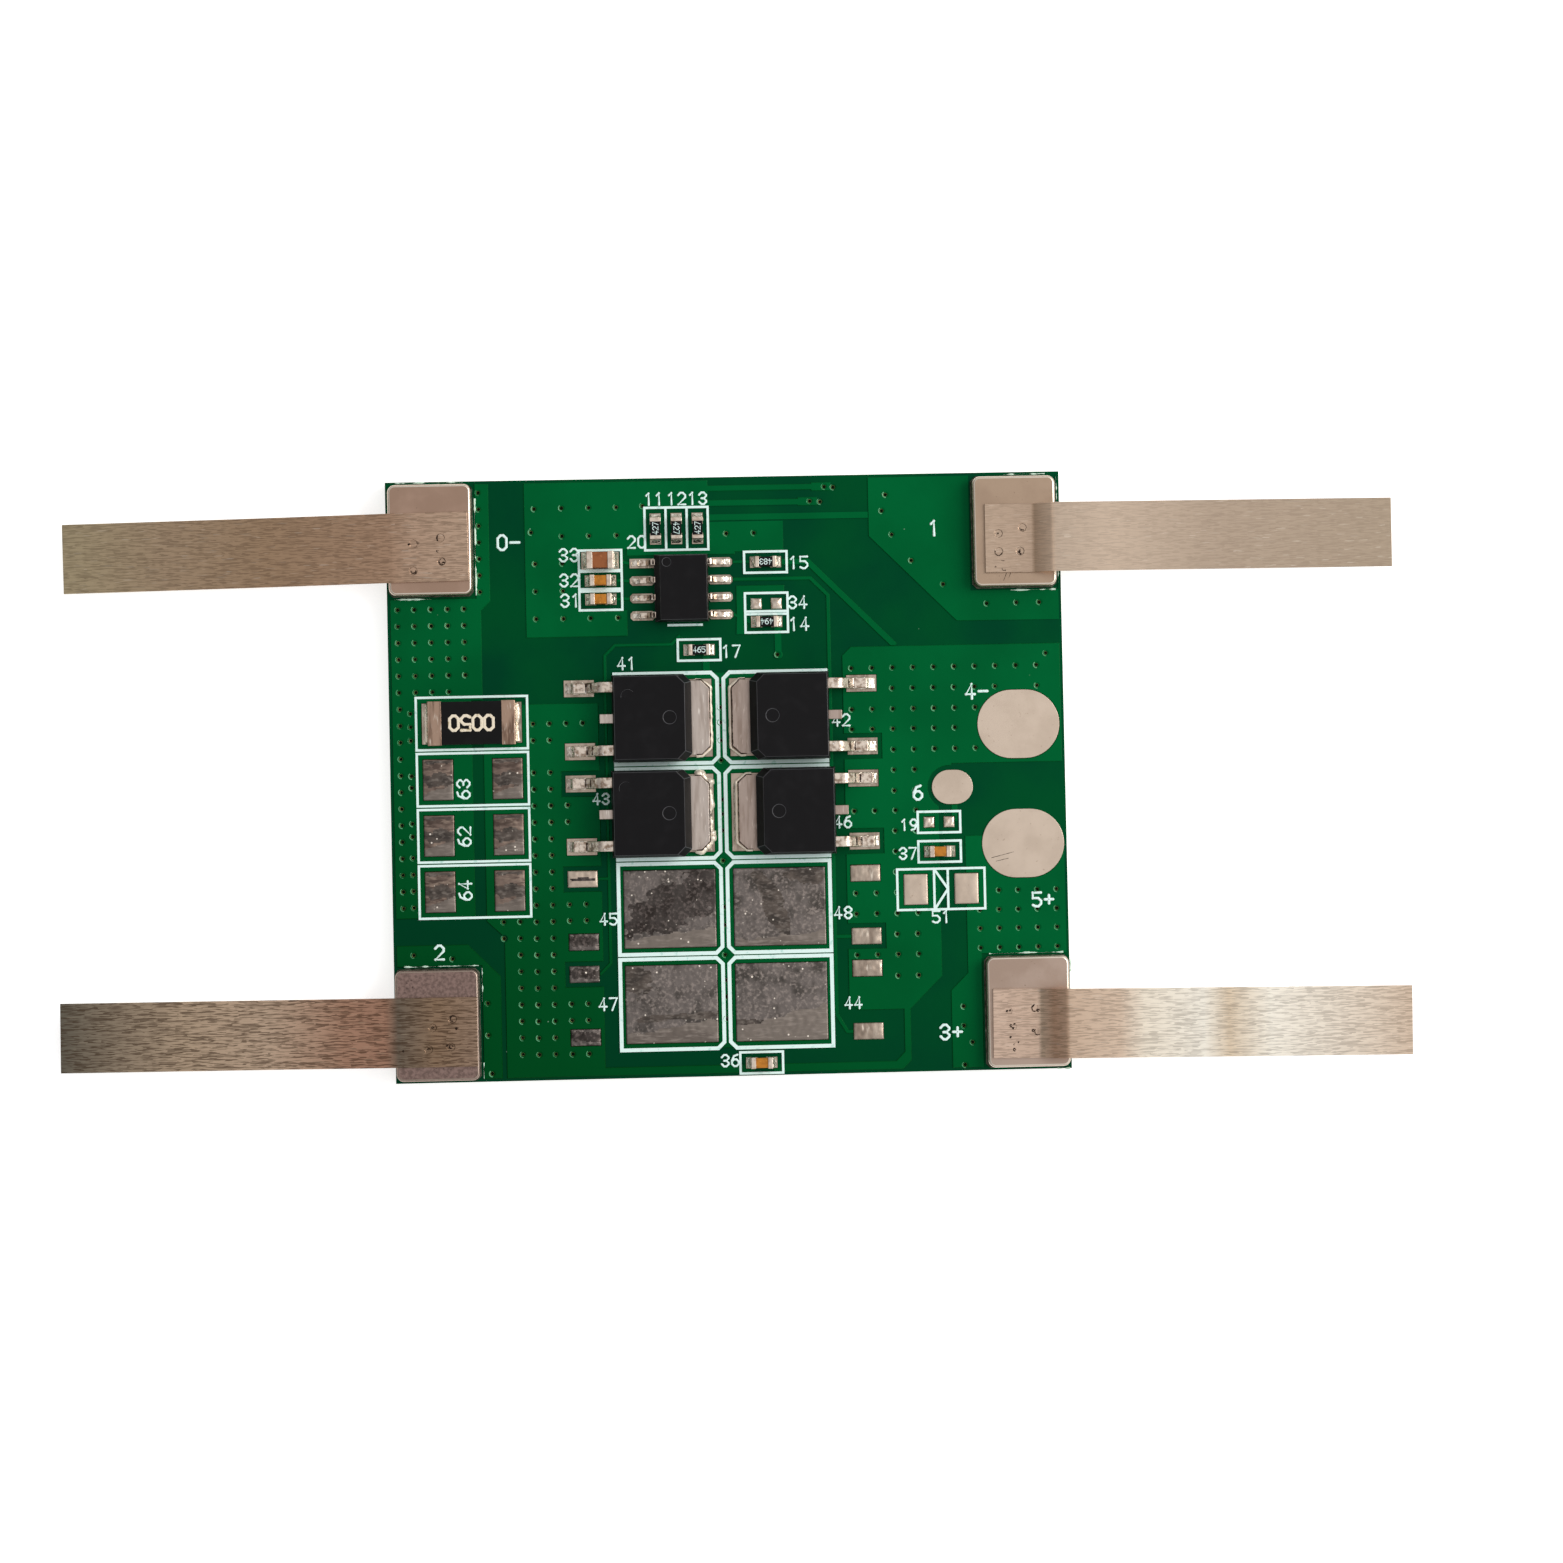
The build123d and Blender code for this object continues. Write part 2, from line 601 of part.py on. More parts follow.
def ground_pour():
    """Copper about the protection chip, open round its pads and the small parts."""
    right = X_MID - BUS_W + IC_BODY_W + CHIP_BOX_W
    low = FRAMES_TOP + GROUND_LOW
    half_l = CHIP_BOX_L / 2
    half_w = CHIP_BOX_W / 2
    timing_x = IC_X - TIMING_X
    feed_x = IC_X + FEED_X
    pads_left = IC_X - IC_PAD_SPREAD / 2 - IC_PAD_L / 2 - CHANNEL / 2
    pads_right = IC_X + IC_PAD_SPREAD / 2 + IC_PAD_L / 2 + CHANNEL / 2
    openings = [
        area(timing_x - half_l, IC_Y + TIMING_STEPS[2] - half_w,
             pads_left, IC_Y + TIMING_STEPS[0] + half_w),
        area(pads_left, low - CHANNEL, pads_right, IC_Y + IC_BODY_L / 2),
        area(IC_X + ROW_SHIFT - CHIP_BOX_W * 1.5, CHIP_ROW_Y - half_l,
             IC_X + ROW_SHIFT + CHIP_BOX_W * 1.5, CHIP_ROW_Y + half_l),
        area(pads_right, pin_places()[2] - CHANNEL, right + CHANNEL, IC_Y + FEED_TOP_Y + half_w),
        area(feed_x - half_l, IC_Y + FEED_LOW_Y - half_w,
             right + CHANNEL, IC_Y + FEED_SPARE_Y + half_w),
    ]
    return ground_area() - join(openings)


def drain_pour():
    """Copper that joins the tabs of all transistors."""
    half = DRAIN_OUTER + COPPER_GAP
    low = ROW_Y[-1] - FRAME_H / 2
    return area(X_MID - half, low, X_MID + half, FRAMES_TOP)


def pin_places():
    """Heights of the chip's pins along one side, from the lowest up."""
    return [IC_Y + (pin - (IC_PINS_SIDE - 1) / 2) * IC_PITCH for pin in range(IC_PINS_SIDE)]


def gate_tracks():
    """Two traces from the chip that run down past the gate leads of each column."""
    pin_y = pin_places()
    pads_right = IC_X + IC_PAD_SPREAD / 2 + IC_PAD_L / 2
    right = column_x(1, DRAIN_OUTER) + GATE_LANE_RIGHT
    left = column_x(-1, DRAIN_OUTER) - GATE_LANE_LEFT
    low = [y - MOSFET_LEAD_PITCH / 2 for y in ROW_Y]
    high = [y + MOSFET_LEAD_PITCH / 2 for y in ROW_Y]
    level = FRAMES_TOP + GATE_TRACE_RISE
    start = FRAMES_TOP + GROUND_LOW
    cut = GATE_TRACE_CUT
    faces = [
        track(GATE_TRACE_W, (pads_right, pin_y[2]), (right - IC_PITCH, pin_y[2]),
              (right, pin_y[2] - IC_PITCH), (right, low[-1] + IC_PITCH),
              (right + cut, low[-1]), (column_x(1, LEAD_INNER), low[-1])),
        track(TRACE_W, (IC_X - LEGEND_LINE, start), (IC_X - LEGEND_LINE - start + level, level),
              (left + cut, level), (left, level - cut), (left, high[-1] + cut),
              (left - cut, high[-1]), (column_x(-1, LEAD_INNER), high[-1])),
    ]
    for row in range(ROWS - 1):
        faces.append(track(GATE_TRACE_W, (right, low[row]), (column_x(1, LEAD_INNER), low[row])))
        faces.append(track(TRACE_W, (left, high[row]), (column_x(-1, LEAD_INNER), high[row])))
    return faces


def signal_tracks():
    """Short traces between the chip and the small parts beside it."""
    pin_y = pin_places()
    pads_right = IC_X + IC_PAD_SPREAD / 2 + IC_PAD_L / 2
    pads_left = IC_X - IC_PAD_SPREAD / 2 - IC_PAD_L / 2
    reach = RESISTOR["length"] / 2 + RESISTOR["toe"]
    feed_x = IC_X + FEED_X
    feed_y = IC_Y + FEED_TOP_Y
    divider_x = feed_x + RESISTOR["length"] / 2
    divider_y = FRAMES_TOP + DIVIDER_VIA_Y
    pour_top = FRAMES_TOP + OUTPUT_POUR_RISE
    turn_x = feed_x + reach + FEED_TRACE_RUN
    drive_x = IC_X + DRIVE_RESISTOR_X + reach - BUS_W
    faces = [
        track(TRACE_W, (pads_right, pin_y[3]), (feed_x - reach, pin_y[3])),
        track(TRACE_W, (pads_right, pin_y[0]), (feed_x - reach, IC_Y + FEED_LOW_Y)),
        track(FEED_TRACE_W, (feed_x + reach, feed_y), (turn_x, feed_y),
              (turn_x + feed_y - pour_top, pour_top)),
        track(FEED_TRACE_W, (divider_x, IC_Y + FEED_LOW_Y), (divider_x, divider_y)),
        Pos(divider_x, divider_y) * RegularPolygon(DIVIDER_RING_R, 2 * TRACK_JOINT_SIDES),
        track(FEED_TRACE_W, (drive_x, FRAMES_TOP + DRIVE_RESISTOR_Y), (drive_x, FRAMES_TOP)),
        track(FEED_TRACE_W, (X_RIGHT - SENSOR_CHIP_X + reach, SENSOR_PAD_Y),
              (X_RIGHT - SENSOR_CHIP_X + reach, SENSOR_RESISTOR_Y)),
    ]
    for offset in TIMING_STEPS:
        y = IC_Y + offset
        pin = min(pin_y, key=lambda level: abs(level - y))
        faces.append(track(TRACE_W, (IC_X - TIMING_X + reach, y), (pads_left, pin)))
    return faces


def tap_tracks():
    """Three sense lines that run from the chip resistors to the right."""
    start = X_MID - BUS_W
    faces = []
    for number, end in enumerate(TAP_TRACK_ENDS):
        y = CHIP_ROW_Y + TAP_TRACK_Y + number * TAP_TRACK_PITCH
        faces.append(track(CHANNEL, (start, y), (X_MID + end, y)))
        if number:
            faces.append(spot(X_MID + end, y, TAP_PAD_L, TAP_PAD_W))
    return faces


def all_pads():
    """One area of all that the green mask leaves open."""
    faces = component_pad_faces() + spare_pad_faces() + output_pad_faces()
    faces += [plate_opening(plate) for plate in PLATES]
    return join(faces)


def make_laminate():
    """Glass laminate between the two copper layers."""
    return slab(spot(0, 0, BOARD_L, BOARD_W), LAMINATE_Z, LAMINATE_T)


def make_top_copper(pads):
    """Copper areas and tracks of the component side, less the open pads."""
    pours = [cell_negative_pour(), source_pour(), output_negative_pour(), output_positive_pour(),
             tap_1_pour(), tap_2_pour(), ground_pour(), drain_pour()]
    face = join(pours + gate_tracks() + signal_tracks() + tap_tracks()) - pads
    return slab(face, TOP_Z, COPPER_T)


def make_bottom_copper():
    """Copper areas of the same nets on the underside."""
    pours = [cell_negative_pour(), source_pour(False), output_negative_pour(False),
             output_positive_pour(), tap_1_pour(), tap_2_pour(), drain_pour(), ground_area()]
    return slab(join(pours), 0, COPPER_T)


def frame_ring(side, row):
    """Legend frame of a transistor, with cut corners beside the centre line."""
    inner = column_x(side, DRAIN_INNER - FRAME_PAD_GAP)
    outer = column_x(side, DRAIN_OUTER + FRAME_SIDE_GAP)
    low = ROW_Y[row] - FRAME_H / 2
    top = ROW_Y[row] + FRAME_H / 2

    def loop(step):
        inside = inner + side * step
        outside = outer - side * step
        cut = side * (FRAME_CORNER - step * (2 - math.sqrt(2)))
        lift = abs(cut)
        return outline((inside + cut, low + step), (outside, low + step),
                       (outside, top - step), (inside + cut, top - step),
                       (inside, top - step - lift), (inside, low + step + lift))

    return loop(-FRAME_LINE / 2) - loop(FRAME_LINE / 2)


def diode_marks():
    """Box of the empty diode place with two bars and a bent line between them."""
    x = X_RIGHT - DIODE_IN
    y = DIODE_Y
    half = DIODE_BOX_W / 2
    faces = [ring(x, y, DIODE_BOX_L, DIODE_BOX_W, LEGEND_LINE)]
    faces += [spot(x + side * DIODE_MARK_X, y, LEGEND_LINE, DIODE_BOX_W) for side in (-1, 1)]
    faces.append(track(LEGEND_LINE, (x - DIODE_MARK_X, y + half), (x + DIODE_MARK_X, y),
                       (x - DIODE_MARK_X, y - half)))
    return faces


def make_legend(pads, copper):
    """Printed boxes and frames, which lie on copper or on laminate."""
    faces = [frame_ring(side, row) for side in (-1, 1) for row in range(ROWS)]
    faces += [chip_box(x, y, upright) for _, _, _, x, y, upright in small_parts()]
    faces += [chip_box(x, y) for x, y in spare_chip_places()]
    faces += [ring(SENSE_X, y, SENSE_BOX_L, SENSE_BOX_W, LEGEND_LINE) for y in SENSE_Y]
    faces += diode_marks()
    faces.append(spot(IC_X + IC_LINE_X, IC_Y - IC_BODY_L / 2 - LEGEND_LINE, IC_LINE_L, LEGEND_LINE))
    return slab(join(faces) - pads, TOP_Z, LEGEND_Z - TOP_Z) - copper


def pad_group(faces):
    """Pads as separate slabs, one from each face."""
    return [slab(face, TOP_Z, PAD_T) for face in faces]


def make_plate(plate):
    """Nickel cell plate with round corners and a broken upper edge."""
    x, y = plate_centre(*plate[1:])
    body = slab(Pos(x, y) * RectangleRounded(PLATE_L, PLATE_W, PLATE_CORNER), PLATE_Z, PLATE_T)
    return chamfer(body.faces().sort_by(Axis.Z)[-1].edges(), PLATE_EDGE)


def make_plate_solder():
    """Solder bed of each plate."""
    return [slab(plate_solder_face(plate), TOP_Z, PAD_T + PLATE_SINK) for plate in PLATES]


def strip_route(name, side):
    """Centre line of a strip along +X, from its inner end at the plate."""
    inside, free, _, _ = STRIPS[name]
    bend = inside - STRIP_BEND_IN
    if side < 0:
        steep = math.radians(STRIP_DROOP)
        slack = math.radians(STRIP_RELAX)
        first = (bend + STRIP_FREE_1, -STRIP_FREE_1 * math.tan(steep))
        rest = inside + free - first[0]
        return [(0, 0), (bend, 0), first, (first[0] + rest, first[1] - rest * math.tan(slack))]
    rise = JOGGLE_RISE_TAP if name == "tap_1" else JOGGLE_RISE_POSITIVE
    run = JOGGLE_RUN_TAP if name == "tap_1" else JOGGLE_RUN_POSITIVE
    start = inside - run - STRIP_BEND_IN
    return [(0, 0), (start, 0), (start + run, rise), (inside + free, rise)]


def make_strip(plate):
    """Nickel strip that lies on its plate and runs out past the board's edge."""
    name, side, _, gap_x, _ = plate
    inside, _, offset, turn = STRIPS[name]
    cx, cy = plate_centre(*plate[1:])
    start_x = side * (X_RIGHT - gap_x - inside)
    points = strip_route(name, side)
    radius = min(STRIP_BEND_R, JOGGLE_RUN_TAP / 2)
    body = bent_sheet(points, radius, STRIP_T, STRIP_W)
    facing = Rot(0, 0, 180) if side < 0 else Rot(0, 0, 0)
    body = Pos(start_x, cy + offset, STRIP_Z + STRIP_T / 2) * Rot(0, 0, turn) * facing * body
    mark = slab(RegularPolygon(WELD_R, WELD_SIDES), STRIP_Z + STRIP_T - WELD_DEPTH, WELD_DEPTH)
    for wx, wy in WELDS[name]:
        body = body - Pos(cx + wx, cy + wy, 0) * mark
    return body


def mosfet_outline(inset, tab_inset):
    """Body outline with the tab end at x = 0 and cut corners at that end."""
    x0 = MOSFET_TAB_OUT + tab_inset
    x1 = MOSFET_TAB_OUT + MOSFET_BODY_L - inset
    y = MOSFET_BODY_W / 2 - inset
    c = MOSFET_CORNER
    return outline((x0 + c, -y), (x1, -y), (x1, y), (x0 + c, y), (x0, y - c), (x0, c - y))


def mosfet_shell():
    """Moulded body, widest at the parting line where the leads come out."""
    middle = Pos(0, 0, MOSFET_PARTING_Z) * mosfet_outline(0, 0)
    lower = loft([mosfet_outline(MOSFET_SIDE_DRAFT, MOSFET_SIDE_DRAFT), middle], ruled=True)
    cap = Pos(0, 0, MOSFET_BODY_H) * mosfet_outline(MOSFET_SIDE_DRAFT, MOSFET_TAB_DRAFT)
    upper = loft([middle, cap], ruled=True)
    x = MOSFET_TAB_OUT + EJECTOR_FROM_TAB
    mark = Pos(x, 0, MOSFET_BODY_H - EJECTOR_DEPTH / 2) * Cylinder(EJECTOR_R, EJECTOR_DEPTH)
    return lower + upper - mark


def mosfet_tab():
    """Heat tab with the cropped centre lead, bent up from it inside the body."""
    reach = MOSFET_TAB_OUT + MOSFET_SLUG_IN
    y = MOSFET_TAB_W / 2
    c = MOSFET_TAB_CORNER
    face = outline((c, -y), (reach, -y), (reach, y), (c, y), (0, y - c), (0, c - y))
    slug = slab(face, 0, MOSFET_TAB_T)
    end = MOSFET_TAB_OUT + MOSFET_BODY_L + MOSFET_STUB_OUT
    knee = MOSFET_TAB_OUT + MOSFET_BODY_L - MOSFET_LEAD_IN
    middle = MOSFET_LEAD_T / 2
    lead = bent_sheet([(reach - MOSFET_LEAD_T, middle), (reach + MOSFET_LEAD_T / 2, middle),
                       (knee, MOSFET_LEAD_Z + middle), (end, MOSFET_LEAD_Z + middle)],
                      MOSFET_LEAD_T * MOSFET_STUB_BEND, MOSFET_LEAD_T, MOSFET_STUB_W)
    return slug + lead


def gull_lead(start, face, reach, foot, level, thickness, width):
    """Formed lead: out of the body, down, and flat on its pad."""
    tip = face + reach
    middle = thickness / 2
    shoulder = face + (reach - foot) * LEAD_SHOULDER
    heel = tip - foot
    points = [(start, level + middle), (shoulder, level + middle), (heel, middle), (tip, middle)]
    return bent_sheet(points, thickness * LEAD_BEND, thickness, width)


def mosfet_leads():
    """Two formed leads and the cropped middle one."""
    face = MOSFET_TAB_OUT + MOSFET_BODY_L
    lead = gull_lead(face - MOSFET_LEAD_IN, face, MOSFET_LEAD_OUT, MOSFET_FOOT_L,
                     MOSFET_LEAD_Z, MOSFET_LEAD_T, MOSFET_LEAD_W)
    return [Pos(0, side * MOSFET_LEAD_PITCH / 2, 0) * lead for side in (-1, 1)]


def make_mosfet(side, row, inset):
    """Body, tab and leads of one transistor on its pads."""
    x = column_x(side, DRAIN_INNER + inset)
    place = Pos(x, ROW_Y[row], PAD_Z) * (Rot(0, 0, 180) if side < 0 else Rot(0, 0, 0))
    tab = mosfet_tab()
    leads = mosfet_leads()
    body = mosfet_shell() - tab
    for lead in leads:
        body = body - lead
    return place * body, place * tab, [place * lead for lead in leads]


def make_ic():
    """Protection chip: bevelled body and two rows of formed leads."""
    def loop(inset, bevel):
        half_w = IC_BODY_W / 2 - inset
        half_l = IC_BODY_L / 2 - inset
        return area(-half_w + bevel, -half_l, half_w, half_l)

    top = IC_STANDOFF + IC_BODY_H
    middle = Pos(0, 0, IC_STANDOFF + IC_PARTING_Z) * loop(0, 0)
    lower = loft([Pos(0, 0, IC_STANDOFF) * loop(IC_DRAFT, 0), middle], ruled=True)
    upper = loft([middle, Pos(0, 0, top) * loop(IC_DRAFT, IC_BEVEL)], ruled=True)
    mark = (Pos(-IC_BODY_W / 2 + IC_MARK_X, IC_BODY_L / 2 - IC_MARK_Y, top - IC_MARK_DEPTH / 2)
            * Cylinder(IC_MARK_R, IC_MARK_DEPTH))
    body = lower + upper - mark
    lead = gull_lead(IC_BODY_W / 2 - IC_LEAD_IN, IC_BODY_W / 2, IC_LEAD_OUT, IC_FOOT_L,
                     IC_STANDOFF + IC_LEAD_Z - IC_LEAD_T / 2, IC_LEAD_T, IC_LEAD_W)
    leads = []
    for pin in range(IC_PINS_SIDE):
        y = (pin - (IC_PINS_SIDE - 1) / 2) * IC_PITCH
        leads += [Pos(0, y, 0) * lead, Pos(0, y, 0) * Rot(0, 0, 180) * lead]
    for piece in leads:
        body = body - piece
    place = Pos(IC_X, IC_Y, PAD_Z)
    return place * body, [place * piece for piece in leads]


def make_chip(kind, chip, x, y, upright):
    """Chip part: core with an overcoat, and a plated cap wrapped round each end."""
    length, width, height = chip["length"], chip["width"], chip["height"]
    core = Pos(0, 0, height / 2) * Box(length - 2 * CAP_WALL, width - 2 * CAP_WALL,
                                       height - 2 * CAP_WALL)
    caps = []
    for side in (-1, 1):
        cap = Pos(side * (length - chip["cap"]) / 2, 0, height / 2) * Box(chip["cap"], width, height)
        cap = chamfer(cap.edges().filter_by(Axis.Y).group_by(Axis.X)[0 if side < 0 else -1],
                      CAP_WALL)
        caps.append(cap - core)
    if kind == "resistor":
        coat = (Pos(0, 0, height - CAP_WALL + OVERCOAT_T / 2)
                * Box(length - 2 * chip["cap"], width - 2 * CAP_WALL, OVERCOAT_T))
        core = core + coat
    place = Pos(x, y, PAD_Z) * Rot(0, 0, 90 if upright else 0)
    return place * core, [place * cap for cap in caps]


def chip_fillets(chip, x, y, upright, toe):
    """Solder at both ends of a chip part."""
    place = Pos(x, y, PAD_Z) * Rot(0, 0, 90 if upright else 0)
    piece = wedge(toe * SOLDER_FILL, chip["height"] * SOLDER_RISE, chip["width"] * SOLDER_FILL)
    end = chip["length"] / 2
    return [place * Pos(end, 0, 0) * piece, place * Rot(0, 0, 180) * Pos(end, 0, 0) * piece]


def mosfet_fillets(side, row, inset):
    """Solder before the toe of each lead, and along the end of the tab."""
    tip = DRAIN_INNER + inset + MOSFET_TAB_OUT + MOSFET_BODY_L + MOSFET_LEAD_OUT
    run = max(LEAD_OUTER - tip, MOSFET_LEAD_T / 2)
    toe = wedge(run * SOLDER_FILL, MOSFET_LEAD_T * SOLDER_RISE, MOSFET_LEAD_W)
    turn = Rot(0, 0, 180) if side < 0 else Rot(0, 0, 0)
    toes = []
    for lead in (-1, 1):
        y = ROW_Y[row] + lead * MOSFET_LEAD_PITCH / 2
        toes.append(Pos(column_x(side, tip), y, PAD_Z) * turn * toe)
    seam = wedge(inset * SOLDER_FILL, MOSFET_TAB_T * SOLDER_RISE, MOSFET_TAB_W - 2 * MOSFET_TAB_CORNER)
    x = column_x(side, DRAIN_INNER + inset)
    return toes, Pos(x, ROW_Y[row], PAD_Z) * turn * Rot(0, 0, 180) * seam


def ic_fillets():
    """Solder before the toe of each chip lead."""
    tip = IC_BODY_W / 2 + IC_LEAD_OUT
    run = IC_PAD_SPREAD / 2 + IC_PAD_L / 2 - tip
    piece = wedge(run * SOLDER_FILL, IC_LEAD_T, IC_LEAD_W)
    place = Pos(IC_X, IC_Y, PAD_Z)
    fillets = []
    for pin in range(IC_PINS_SIDE):
        y = (pin - (IC_PINS_SIDE - 1) / 2) * IC_PITCH
        fillets += [place * Pos(tip, y, 0) * piece,
                    place * Pos(-tip, y, 0) * Rot(0, 0, 180) * piece]
    return fillets


def save(name, shapes):
    """Write one node, made of one solid or of several separate ones."""
    group = shapes if isinstance(shapes, list) else [shapes]
    solids = [solid for shape in group for solid in shape.solids()]
    node = solids[0] if len(solids) == 1 else Compound(children=solids)
    export_step(node, f"parts/{name}.step")


def main():
    """Write every node of the board."""
    os.makedirs("parts", exist_ok=True)
    pads = all_pads()
    copper = make_top_copper(pads)
    save("board_laminate", make_laminate())
    save("top_copper", copper)
    save("bottom_copper", make_bottom_copper())
    save("legend", make_legend(pads, copper))
    save("output_pads", pad_group(output_pad_faces()))
    save("spare_pads", pad_group(spare_pad_faces()))
    save("component_pads", pad_group(component_pad_faces()))
    save("plate_solder", make_plate_solder())
    for plate in PLATES:
        save(f"cell_plate_{plate[0]}", make_plate(plate))
        save(f"nickel_strip_{plate[0]}", make_strip(plate))
    lead_solder, tab_solder = ic_fillets(), []
    for name, side, row, inset in MOSFETS:
        body, tab, leads = make_mosfet(side, row, inset)
        save(f"{name}_body", body)
        save(f"{name}_tab", tab)
        save(f"{name}_leads", leads)
        toes, seam = mosfet_fillets(side, row, inset)
        lead_solder += toes
        tab_solder.append(seam)
    ic_body, ic_leads = make_ic()
    save("protection_chip_body", ic_body)
    save("protection_chip_leads", ic_leads)
    chip_solder = []
    for name, kind, chip, x, y, upright in small_parts():
        core, caps = make_chip(kind, chip, x, y, upright)
        save(f"{name}_body", core)
        save(f"{name}_terminals", caps)
        chip_solder += chip_fillets(chip, x, y, upright, chip["toe"])
    core, caps = make_chip("resistor", SENSE, SENSE_X, SENSE_Y[0], False)
    save("sense_resistor_body", core)
    save("sense_resistor_terminals", caps)
    chip_solder += chip_fillets(SENSE, SENSE_X, SENSE_Y[0], False, SENSE["toe"])
    save("chip_solder", chip_solder)
    save("lead_solder", lead_solder)
    save("mosfet_tab_solder", tab_solder)


main()
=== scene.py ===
"""Dresses the battery management board: board, cell tabs, transistors, chips and print."""

import logging
import math
from dataclasses import dataclass
from enum import Enum

import bmesh
import bpy
from mathutils import Matrix, Vector, noise
from mathutils.bvhtree import BVHTree


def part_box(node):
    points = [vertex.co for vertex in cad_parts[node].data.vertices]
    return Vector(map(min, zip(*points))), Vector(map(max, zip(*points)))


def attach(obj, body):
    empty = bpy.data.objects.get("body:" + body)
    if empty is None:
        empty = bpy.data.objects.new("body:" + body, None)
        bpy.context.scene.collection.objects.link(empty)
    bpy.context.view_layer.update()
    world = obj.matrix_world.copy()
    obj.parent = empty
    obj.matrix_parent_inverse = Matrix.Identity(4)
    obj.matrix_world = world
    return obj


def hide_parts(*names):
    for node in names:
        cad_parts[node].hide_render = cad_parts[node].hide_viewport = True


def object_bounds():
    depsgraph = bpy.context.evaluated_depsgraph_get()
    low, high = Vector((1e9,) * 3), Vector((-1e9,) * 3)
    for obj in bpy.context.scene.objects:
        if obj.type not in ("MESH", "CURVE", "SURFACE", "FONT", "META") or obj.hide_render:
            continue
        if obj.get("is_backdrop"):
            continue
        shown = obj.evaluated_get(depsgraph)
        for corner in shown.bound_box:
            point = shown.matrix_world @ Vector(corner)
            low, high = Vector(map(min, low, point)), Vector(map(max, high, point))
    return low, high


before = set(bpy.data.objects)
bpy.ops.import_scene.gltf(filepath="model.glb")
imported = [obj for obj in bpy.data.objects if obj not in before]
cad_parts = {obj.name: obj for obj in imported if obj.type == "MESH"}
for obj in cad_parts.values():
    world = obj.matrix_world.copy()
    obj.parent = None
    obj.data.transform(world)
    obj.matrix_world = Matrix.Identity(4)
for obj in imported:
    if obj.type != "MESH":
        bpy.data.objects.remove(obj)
CAD_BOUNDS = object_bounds()

log = logging.getLogger("board")

# Short names for the types that the functions take and give
Tree = bpy.types.NodeTree
Node = bpy.types.Node
Socket = bpy.types.NodeSocket
Mesh = bpy.types.Mesh
Piece = bpy.types.Object
Solids = bmesh.types.BMesh
Triple = tuple[float, float, float]
Pairs = tuple[tuple[float, float], ...]

# Lengths in this script are millimetres, turned to metres when a mesh is finished
MM = 0.001
BODY = "root"
# Points nearer to each other than this are one point
TINY = 0.002
# Height over the board from which its surface is looked for
ABOVE = 5.0
# Edges that turn by fewer degrees stay sharp
SHARP_EDGE = 28.0
# A bead is never thinner than this share of its radius
THIN_SHARE = 0.05


def linear(code: str) -> tuple[float, float, float, float]:
    """Turns an sRGB hex colour into linear light.

    Args:
        code: colour as #rrggbb.

    Returns:
        Linear red, green and blue, with an alpha of one.
    """
    shares = [int(code[i:i + 2], 16) / 255 for i in (1, 3, 5)]
    red, green, blue = (s / 12.92 if s <= 0.04045 else ((s + 0.055) / 1.055) ** 2.4 for s in shares)
    return red, green, blue, 1.0


def per_mm(size: float) -> float:
    """Texture scale, in object coordinates, of features about size millimetres across."""
    return 1.0 / (size * MM)


def add_node(
    tree: Tree,
    kind: str,
    inputs: dict[str | int, object] | None = None,
    settings: dict[str, object] | None = None,
    stops: tuple[tuple[float, str], ...] = (),
) -> Node:
    """Adds one node with its settings and links.

    Args:
        tree: node tree that gets the node.
        kind: the node's type name.
        inputs: constants, or output sockets to link, by the input's name or number.
        settings: the node's own settings by name.
        stops: positions and hex colours of a colour ramp.

    Returns:
        The new node.
    """
    node = tree.nodes.new(kind)
    for name, value in (settings or {}).items():
        setattr(node, name, value)
    for key, value in (inputs or {}).items():
        if isinstance(value, Socket):
            tree.links.new(value, node.inputs[key])
        else:
            node.inputs[key].default_value = value
    if stops:
        elements = node.color_ramp.elements
        while len(elements) < len(stops):
            elements.new(0.5)
        for element, (position, code) in zip(elements, stops):
            element.position = position
            element.color = linear(code)
    return node


def fresh_nodes(owner: bpy.types.Material | bpy.types.World) -> Tree:
    """Gives a material or a world an empty tree of nodes."""
    owner.use_nodes = True
    owner.node_tree.nodes.clear()
    return owner.node_tree


